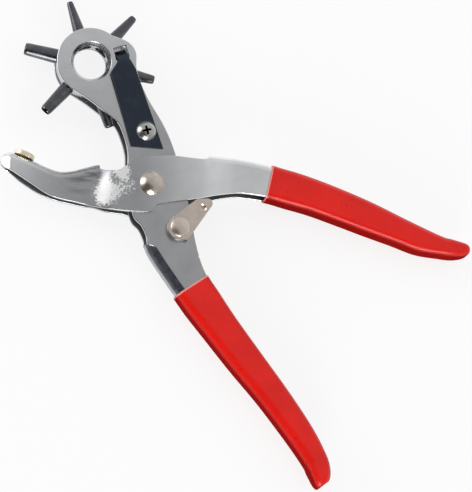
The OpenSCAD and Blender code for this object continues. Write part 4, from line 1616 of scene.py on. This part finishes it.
@dataclass
class PunchTubes:
    """Six hollow punches of rising bore, whose shanks show in the head's hole, made by one node tree."""

    bores: tuple[float, ...] = (2.0, 2.5, 3.0, 3.5, 4.0, 4.5)
    ring_r: float = 14.0
    shank_start: float = 7.5
    shank_r: float = 3.0
    # Outer radius at the first tube's root, and what each wider bore adds to it
    root_r: float = 2.5
    root_step: float = 0.12
    root_soft: float = 0.3
    wall: float = 0.4
    edge_l: float = 1.0
    edge_w: float = 0.12

    def tree(self, material: bpy.types.Material, bore: bpy.types.Material) -> bpy.types.NodeTree:
        """Builds the node tree of one tube.

        Args:
            material: The tube's finish.
            bore: Finish of its bore, its inner end and its shank, which is painted shade.

        Returns:
            A tree with inputs for the tube's radii, in metres, and its heading, in radians.
        """
        tree = bpy.data.node_groups.new("punch_tube", "GeometryNodeTree")
        tree.interface.new_socket("Geometry", in_out="OUTPUT", socket_type="NodeSocketGeometry")
        for name in ("Bore Radius", "Tip Radius", "Root Radius", "Heading"):
            tree.interface.new_socket(name, in_out="INPUT", socket_type="NodeSocketFloat")
        given = add(tree, "NodeGroupInput").outputs
        hole, taper = given["Bore Radius"], given["Root Radius"]
        edge = add(tree, "ShaderNodeMath", {"operation": "ADD"}, {0: hole, 1: self.edge_w * MM}).outputs[0]
        soft = add(tree, "ShaderNodeMath", {"operation": "SUBTRACT"}, {
            0: taper, 1: self.root_soft * MM}).outputs[0]
        start, reach, root, shank = self.shank_start, TOOL.tip_reach, self.ring_r, self.shank_r * MM
        line = [
            (hole, start), (shank, start), (shank, root - 0.2), (soft, root), (taper, root + self.root_soft),
            (taper, root + 1), (given["Tip Radius"], reach - self.edge_l), (edge, reach - 0.1), (hole, reach),
            (hole, start)]
        parts = []
        for (low, z0), (high, z1) in zip(line, line[1:]):
            flip = z1 < z0
            bottom, top, base = (high, low, z1) if flip else (low, high, z0)
            cone = add(tree, "GeometryNodeMeshCone", {"fill_type": "NONE"}, {
                "Vertices": 48, "Side Segments": 1, "Radius Top": top, "Radius Bottom": bottom,
                "Depth": max(abs(z1 - z0), 0.0001) * MM}).outputs["Mesh"]
            moved = add(tree, "GeometryNodeTransform", inputs={
                "Geometry": cone, "Translation": (0, 0, base * MM)})
            # The inner end, the shank and the bore take the painted shade
            in_painted_shade = len(parts) in (0, 1, len(line) - 2)
            marked = add(tree, "GeometryNodeStoreNamedAttribute", {
                "data_type": "BOOLEAN", "domain": "FACE"}, {
                "Geometry": moved.outputs[0], "Name": "inner", "Value": in_painted_shade})
            parts.append(marked.outputs[0])
        joined = add(tree, "GeometryNodeJoinGeometry")
        for part in parts:
            tree.links.new(part, joined.inputs[0])
        merged = add(tree, "GeometryNodeMergeByDistance", inputs={
            "Geometry": joined.outputs[0], "Distance": 0.002 * MM})
        lying = add(tree, "GeometryNodeTransform", inputs={
            "Geometry": merged.outputs[0], "Rotation": (0, math.pi / 2, 0)})
        heading = add(tree, "ShaderNodeCombineXYZ", inputs={"Z": given["Heading"]})
        placed = add(tree, "GeometryNodeTransform", inputs={
            "Geometry": lying.outputs[0], "Rotation": heading.outputs[0],
            "Translation": row_point(TOOL.head[0], TOOL.head[1], 0)})
        real = add(tree, "GeometryNodeRealizeInstances", inputs={"Geometry": placed.outputs[0]})
        dressed = add(tree, "GeometryNodeSetMaterial", inputs={
            "Geometry": real.outputs[0], "Material": material})
        inner = add(tree, "GeometryNodeInputNamedAttribute", {"data_type": "BOOLEAN"}, {"Name": "inner"})
        dressed = add(tree, "GeometryNodeSetMaterial", inputs={
            "Geometry": dressed.outputs[0], "Selection": inner.outputs[0], "Material": bore})
        add(tree, "NodeGroupOutput", inputs={0: dressed.outputs[0]})
        return tree

    def build(self, paints: Paints) -> None:
        """Builds the six tubes and hands them over.

        Args:
            paints: The finishes.
        """
        tree = self.tree(paints.get(Finish.PUNCH), paints.get(Finish.BORE))
        sockets = {s.name: s.identifier for s in tree.interface.items_tree if s.in_out == "INPUT"}
        for i, bore in enumerate(self.bores):
            label = f"{bore:.1f}".replace(".", "_")
            host = bpy.data.objects.new("tube_host", bpy.data.meshes.new("tube_host"))
            bpy.context.scene.collection.objects.link(host)
            modifier = host.modifiers.new("tube", "NODES")
            modifier.node_group = tree
            tip = bore / 2 + self.wall
            values = {"Bore Radius": bore / 2 * MM, "Tip Radius": tip * MM,
                      "Root Radius": max(self.root_r + self.root_step * i, tip) * MM,
                      "Heading": math.radians(TOOL.tube_angle + 60 * (4 - i))}
            for name, value in values.items():
                modifier[sockets[name]] = value
            evaluated = host.evaluated_get(bpy.context.evaluated_depsgraph_get())
            made = bpy.data.meshes.new_from_object(evaluated)
            bm = bmesh.new()
            bm.from_mesh(made)
            bpy.data.objects.remove(host)
            piece = piece_from(f"punch_{label}", bm, *made.materials)
            hand_over(piece, "turret", Finish.PUNCH, f"tube_{label}")


@dataclass
class Turret:
    """The turret ring and its punches."""

    tubes: PunchTubes = field(default_factory=PunchTubes)

    def build(self, paints: Paints) -> None:
        """Builds the turret and hands it over.

        Args:
            paints: The finishes.
        """
        ring = softened_copy("turret_wheel", "turret_ring", paints.get(Finish.RING), 0.3)
        hand_over(ring, "turret", Finish.RING, "turret_ring")
        self.tubes.build(paints)


# ---------- Pivot, detent and lock ----------

@dataclass
class Fasteners:
    """Rivets, screw, washer and lever on the near cheeks, and the parts of the pivot."""

    lock: Point2 = (11.6, -18.8)
    # Radius and height of each head and tail
    pivot_head: Point2 = (5.2, 2.6)
    pivot_shank: float = 3.0
    pivot_tail: Point2 = (4.8, 0.9)
    # The lock's rivet stands over the lever, whose dimple rests on the arm's cheek
    lever_dimple: float = 0.5
    lever_t: float = 1.5
    lever_gap: float = 0.02
    lock_head: Point2 = (4.2, 1.7)
    lock_dome_h: float = 1.25
    lock_shank: float = 2.2
    lock_tail: Point2 = (3.3, 0.9)

    @staticmethod
    def dome(radius: float, height: float, base: float) -> list[Point2]:
        """Profile of a rivet head from its pole to its rim, with a soft lower edge.

        Args:
            radius: Radius of the head.
            height: Height of the head.
            base: Height of its underside.

        Returns:
            Points of (radius, height).
        """
        ball = (radius * radius + height * height) / (2 * height)
        top = math.asin(min((radius - 0.15) / ball, 1))
        arc = [(ball * math.sin(top * k / 16), base + height - ball + ball * math.cos(top * k / 16))
               for k in range(17)]
        arc[0] = (0.0, arc[0][1])
        return arc + [(radius, base + 0.12), (radius - 0.05, base)]

    def pivot(self, paints: Paints) -> None:
        """Builds the pivot's rivet and hands it over.

        Args:
            paints: The finishes.
        """
        bm = bmesh.new()
        radius, height = self.pivot_head
        tail_r, tail_h = self.pivot_tail
        low = -TOOL.mid_z
        profile = self.dome(radius, height, TOOL.cross_h) + [
            (self.pivot_shank, TOOL.cross_h), (self.pivot_shank, low + tail_h), (tail_r - 0.2, low + tail_h),
            (tail_r, low + tail_h - 0.2), (tail_r, low + 0.25), (tail_r - 0.25, low), (0.0, low)]
        add_lathe(bm, profile, row_point)
        piece = piece_from("main_rivet", bm, paints.get(Finish.RIVET))
        hand_over(piece, "frame", Finish.RIVET, "pivot_rivet")

    def lock_rivet(self, paints: Paints) -> None:
        """Builds the low-domed rivet on which the lock lever turns, and hands it over.

        Args:
            paints: The finishes.
        """
        base = TOOL.cross_h + TOOL.slide_gap + self.lever_dimple + self.lever_t + self.lever_gap
        r, top = self.lock_head[0], base + self.lock_head[1]
        (tail_r, tail_h), inner = self.lock_tail, TOOL.frame_h - TOOL.sheet
        low = inner - tail_h
        profile = self.dome(r, self.lock_dome_h, top - self.lock_dome_h)[:-2] + [
            (r, top - self.lock_dome_h - 0.15), (r, base + 0.1), (r - 0.1, base), (self.lock_shank, base),
            (self.lock_shank, inner), (tail_r - 0.1, inner), (tail_r, inner - 0.1), (tail_r, low + 0.2),
            (tail_r - 0.2, low), (0.0, low)]
        bm = bmesh.new()
        add_lathe(bm, profile, lambda x, y, z: row_point(self.lock[0] + x, self.lock[1] + y, z))
        piece = piece_from("rivet_of_lock", bm, paints.get(Finish.LEVER))
        hand_over(piece, "frame", Finish.LEVER, "lock_rivet")

    def build(self, paints: Paints) -> None:
        """Builds the small parts and hands them over.

        Args:
            paints: The finishes.
        """
        self.pivot(paints)
        self.lock_rivet(paints)
        for name, node, body, finish, radius in (
                ("pivot_sleeve", "pivot_spacer", "frame", Finish.RING, 0.1),
                ("detent_leaf", "detent_spring", "frame", Finish.LEAF, 0.2),
                ("washer_of_lock", "lock_washer", "frame", Finish.RING, 0.2),
                ("lever_of_lock", "lock_lever", "latch", Finish.LEVER, 0.3)):
            piece = softened_copy(name, node, paints.get(finish), radius)
            hand_over(piece, body, finish, node)


@dataclass
class PanScrew:
    """Cross-recessed pan head screw that holds the detent leaf."""

    at: Point2 = TOOL.neck_point(0.365, 0.49)
    base: float = 7.0
    head_r: float = 4.2
    head_h: float = 2.4
    shank_r: float = 2.0
    shank_low: float = 2.7
    arm_l: float = 1.9
    arm_w: float = 0.46
    depth: float = 1.6
    turn: float = 14.0
    segments: int = 144

    def recess(self, x: float, y: float) -> float:
        """Depth of the cross recess, with steep soft walls.

        Args:
            x: Place along the first arm, before the screw is turned.
            y: Place across it.

        Returns:
            The depth.
        """
        u, v = turned((x, y), -self.turn)
        inside = max(min(self.arm_l - abs(a), self.arm_w - abs(b) + 0.08 * (1 - abs(a) / self.arm_l))
                     for a, b in ((u, v), (v, u)))
        return self.depth * ease(inside / 0.16) * (1 - 0.35 * math.hypot(u, v) / self.arm_l)

    def build(self, paints: Paints) -> None:
        """Builds the screw and hands it over.

        Args:
            paints: The finishes.
        """
        ball = (self.head_r ** 2 + self.head_h ** 2) / (2 * self.head_h)
        radii = spaced(0.1, 2.2, 0.1) + spaced(2.2, 4.0, 0.2) + [4.0, 4.1]
        turns = [2 * math.pi * k / self.segments for k in range(self.segments)]
        bm = bmesh.new()

        def place(radius: float, angle: float, z: float) -> bmesh.types.BMVert:
            """New vertex at a place about the screw's axis."""
            return bm.verts.new(row_point(self.at[0] + radius * math.cos(angle),
                                          self.at[1] + radius * math.sin(angle), z))

        rings = [[place(0, 0, self.base + self.head_h - self.depth)]]
        for r in radii:
            top = self.base + self.head_h - ball + math.sqrt(ball * ball - r * r)
            rings.append([place(r, a, top - self.recess(r * math.cos(a), r * math.sin(a))) for a in turns])
        for r, z in ((self.head_r, self.base + 0.25), (self.head_r, self.base + 0.1),
                     (self.head_r - 0.1, self.base), (self.shank_r, self.base),
                     (self.shank_r, self.shank_low + 0.3), (self.shank_r - 0.3, self.shank_low)):
            rings.append([place(r, a, z) for a in turns])
        rings.append([place(0, 0, self.shank_low)])
        for a, b in zip(rings, rings[1:]):
            for k in range(self.segments):
                n = (k + 1) % self.segments
                loop = ([a[0]] if len(a) == 1 else [a[k], a[n]]) + ([b[0]] if len(b) == 1 else [b[n], b[k]])
                face = bm.faces.new(loop)
                x, y = (c / MM for c in (face.calc_center_median() - row_point(*self.at, 0)).xy)
                # Faces deep in the recess take the painted shade
                face.material_index = int(self.recess(x, y) > 0.5)
        piece = piece_from("leaf_screw", bm, paints.get(Finish.SCREW), paints.get(Finish.RECESS))
        hand_over(piece, "frame", Finish.SCREW, "detent_screw")


@dataclass
class HandleSpring:
    """Torsion spring round the pivot's sleeve, with one leg on each handle's back."""

    wire_r: float = 0.7
    coils: int = 3
    sleeve_r: float = 4.15
    sleeve_gap: float = 0.3
    coil_gap: float = 0.2
    # Place of each leg's end along its handle, and its gap to the back's inner face
    frame_leg: Point2 = (6.0, 0.1)
    arm_leg: Point2 = (31.0, 0.15)

    def path(self) -> list[Vector]:
        """Line of the wire: one leg, the coils and the other leg.

        Returns:
            Points from the middle plane, in millimetres.
        """
        radius = self.sleeve_r + self.sleeve_gap + self.wire_r
        pitch = 2 * self.wire_r + self.coil_gap
        (s, low_gap), (x, high_gap) = self.frame_leg, self.arm_leg
        frame_leg = TOOL.lower_point(s, curve(LOWER.back, s) + TOOL.sheet + self.wire_r + low_gap)
        arm_leg = (x, curve(UPPER.back, x) - TOOL.sheet - self.wire_r - high_gap)
        start = math.atan2(arm_leg[1], arm_leg[0]) + math.acos(radius / math.hypot(*arm_leg))
        end = math.atan2(frame_leg[1], frame_leg[0]) + 2 * math.pi
        end -= math.acos(radius / math.hypot(*frame_leg))
        turn = 2 * math.pi * self.coils + end - start
        top = pitch * turn / (4 * math.pi)
        steps = 48 * self.coils
        turns = [start + turn * k / steps for k in range(steps + 1)]
        coil = [Vector((radius * math.cos(a), radius * math.sin(a), top - pitch * (a - start) / math.tau))
                for a in turns]
        return [Vector((*arm_leg, top))] + coil + [Vector((*frame_leg, -top))]

    def build(self, paints: Paints) -> None:
        """Builds the spring and hands it over.

        Args:
            paints: The finishes.
        """
        bm = bmesh.new()
        add_round_wire(bm, self.path(), self.wire_r)
        piece = piece_from("torsion_spring", bm, paints.get(Finish.WIRE))
        hand_over(piece, "frame", Finish.WIRE, "handle_spring")


# ---------- Studio ----------

@dataclass(frozen=True)
class SoftLight:
    """A soft patch of light in the room: it fades out between two shares of its direction."""

    direction: Point3
    outer: float
    inner: float
    strength: float


@dataclass
class Studio:
    """Pale floor, soft light and the camera, with its sizes in metres."""

    distance: float = 2.0
    view_height: float = 0.2066
    target: Point3 = (0.03662, -0.02425, 0.00885)
    to_camera: Point3 = (-0.15284, -0.18681, 0.97043)
    right: Point3 = (0.98782, 0.0, 0.15558)
    floor_half: float = 2.5
    floor_colour: str = "#FAFAFA"
    floor_glow: float = 0.82
    dim: float = 0.06
    lamp: float = 0.44
    lights: tuple[SoftLight, ...] = (
        # Even light from all round, but for a dark corner at the front left
        SoftLight((0.69, 0.69, -0.24), -0.60, -0.38, 0.48),
        # A little more from the back right
        SoftLight((0.69, 0.69, -0.24), 0.02, 0.45, 0.17),
        # Pale sweep below the horizon
        SoftLight((0.0, 0.0, -1.0), -0.06, 0.03, 0.85),
        # Window on the left
        SoftLight((-0.90, 0.31, 0.27), 0.885, 0.98, 3.2),
        # Bright lamp at the front, low over the floor
        SoftLight((-0.08, -0.96, 0.22), 0.93, 0.98, 10.0))

    def camera(self) -> None:
        """Adds the camera with a long lens, at its distance from the tool."""
        data = bpy.data.cameras.new("camera")
        data.lens = data.sensor_width * self.distance / self.view_height
        data.clip_start, data.clip_end = 0.1, 20.0
        camera = bpy.data.objects.new("camera", data)
        back, right = Vector(self.to_camera).normalized(), Vector(self.right).normalized()
        up = back.cross(right)
        turn = Matrix((right, up, back)).transposed().to_4x4()
        camera.matrix_world = Matrix.Translation(Vector(self.target) + back * self.distance) @ turn
        bpy.context.scene.collection.objects.link(camera)
        bpy.context.scene.camera = camera

    def floor(self) -> None:
        """Adds a white floor that shows the tool's shadow faintly."""
        bm = bmesh.new()
        bmesh.ops.create_grid(bm, x_segments=8, y_segments=8, size=self.floor_half)
        mesh = bpy.data.meshes.new("floor")
        bm.to_mesh(mesh)
        bm.free()
        surface = Surface.start("white_studio_floor", {
            "Base Color": linear(self.floor_colour), "Roughness": 1.0, "Specular IOR Level": 0.0})
        tree = surface.tree
        glow = add(tree, "ShaderNodeEmission", inputs={"Strength": 1.0})
        path = add(tree, "ShaderNodeLightPath")
        seen = add(tree, "ShaderNodeMath", {"operation": "MAXIMUM"}, {
            0: path.outputs["Is Camera Ray"], 1: path.outputs["Is Glossy Ray"]})
        seen = add(tree, "ShaderNodeMath", {"operation": "MAXIMUM"}, {
            0: seen.outputs[0], 1: path.outputs["Is Transmission Ray"]})
        share = add(tree, "ShaderNodeMath", {"operation": "MULTIPLY"}, {
            0: seen.outputs[0], 1: self.floor_glow})
        mix = add(tree, "ShaderNodeMixShader", inputs={
            0: share.outputs[0], 1: surface.shader.outputs[0], 2: glow.outputs[0]})
        tree.links.new(mix.outputs[0], tree.nodes["Material Output"].inputs["Surface"])
        mesh.materials.append(surface.material)
        floor = bpy.data.objects.new("floor", mesh)
        bpy.context.scene.collection.objects.link(floor)

    def sky(self) -> None:
        """Lights the room by soft patches of light in an otherwise dim sky."""
        world = bpy.data.worlds.new("studio")
        bpy.context.scene.world = world
        world.use_nodes = True
        tree = world.node_tree
        tree.nodes.clear()
        way = add(tree, "ShaderNodeTexCoord").outputs["Generated"]
        glow: float | Value = self.dim
        for light in self.lights:
            facing = add(tree, "ShaderNodeVectorMath", {"operation": "DOT_PRODUCT"}, {
                0: way, 1: light.direction}).outputs["Value"]
            lobe = add(tree, "ShaderNodeMapRange", {"interpolation_type": "SMOOTHSTEP"}, {
                "Value": facing, "From Min": light.outer, "From Max": light.inner,
                "To Min": 0.0, "To Max": light.strength}).outputs[0]
            glow = add(tree, "ShaderNodeMath", {"operation": "ADD"}, {0: lobe, 1: glow}).outputs[0]
        room = add(tree, "ShaderNodeBackground", inputs={"Color": (1, 1, 1, 1), "Strength": glow})
        white = add(tree, "ShaderNodeBackground", inputs={"Color": (1, 1, 1, 1), "Strength": 1.0})
        path = add(tree, "ShaderNodeLightPath")
        mix = add(tree, "ShaderNodeMixShader", inputs={
            0: path.outputs["Is Camera Ray"], 1: room.outputs[0], 2: white.outputs[0]})
        add(tree, "ShaderNodeOutputWorld", inputs={"Surface": mix.outputs[0]})

    def lamps(self) -> None:
        """Adds two very soft lamps that even out the light on coloured surfaces."""
        for name, direction in (("soft_lamp_left", (-0.45, 0.35, 0.82)),
                                ("soft_lamp_right", (0.5, 0.1, 0.86))):
            data = bpy.data.lights.new(name, "SUN")
            data.energy, data.angle = self.lamp, math.radians(60)
            lamp = bpy.data.objects.new(name, data)
            lamp.rotation_euler = Vector(direction).to_track_quat("Z", "Y").to_euler()
            lamp.visible_glossy = False
            bpy.context.scene.collection.objects.link(lamp)

    def build(self) -> None:
        """Sets up the studio."""
        self.camera()
        self.floor()
        self.sky()
        self.lamps()
        bpy.context.scene.view_settings.view_transform = "Standard"


def main() -> None:
    """Builds the tool's pieces in order, then the studio."""
    logging.basicConfig(level=logging.INFO, format="%(message)s")
    paints = Paints()
    for part in (TurretFrame(), AnvilArm(), Turret(), Fasteners(), PanScrew(), HandleSpring(),
                 Grip("lower_grip", "frame_grip", "frame", LOWER),
                 Grip("upper_grip", "arm_grip", "anvil_arm", UPPER)):
        part.build(paints)
    Studio().build()


if __name__ == "__main__":
    main()
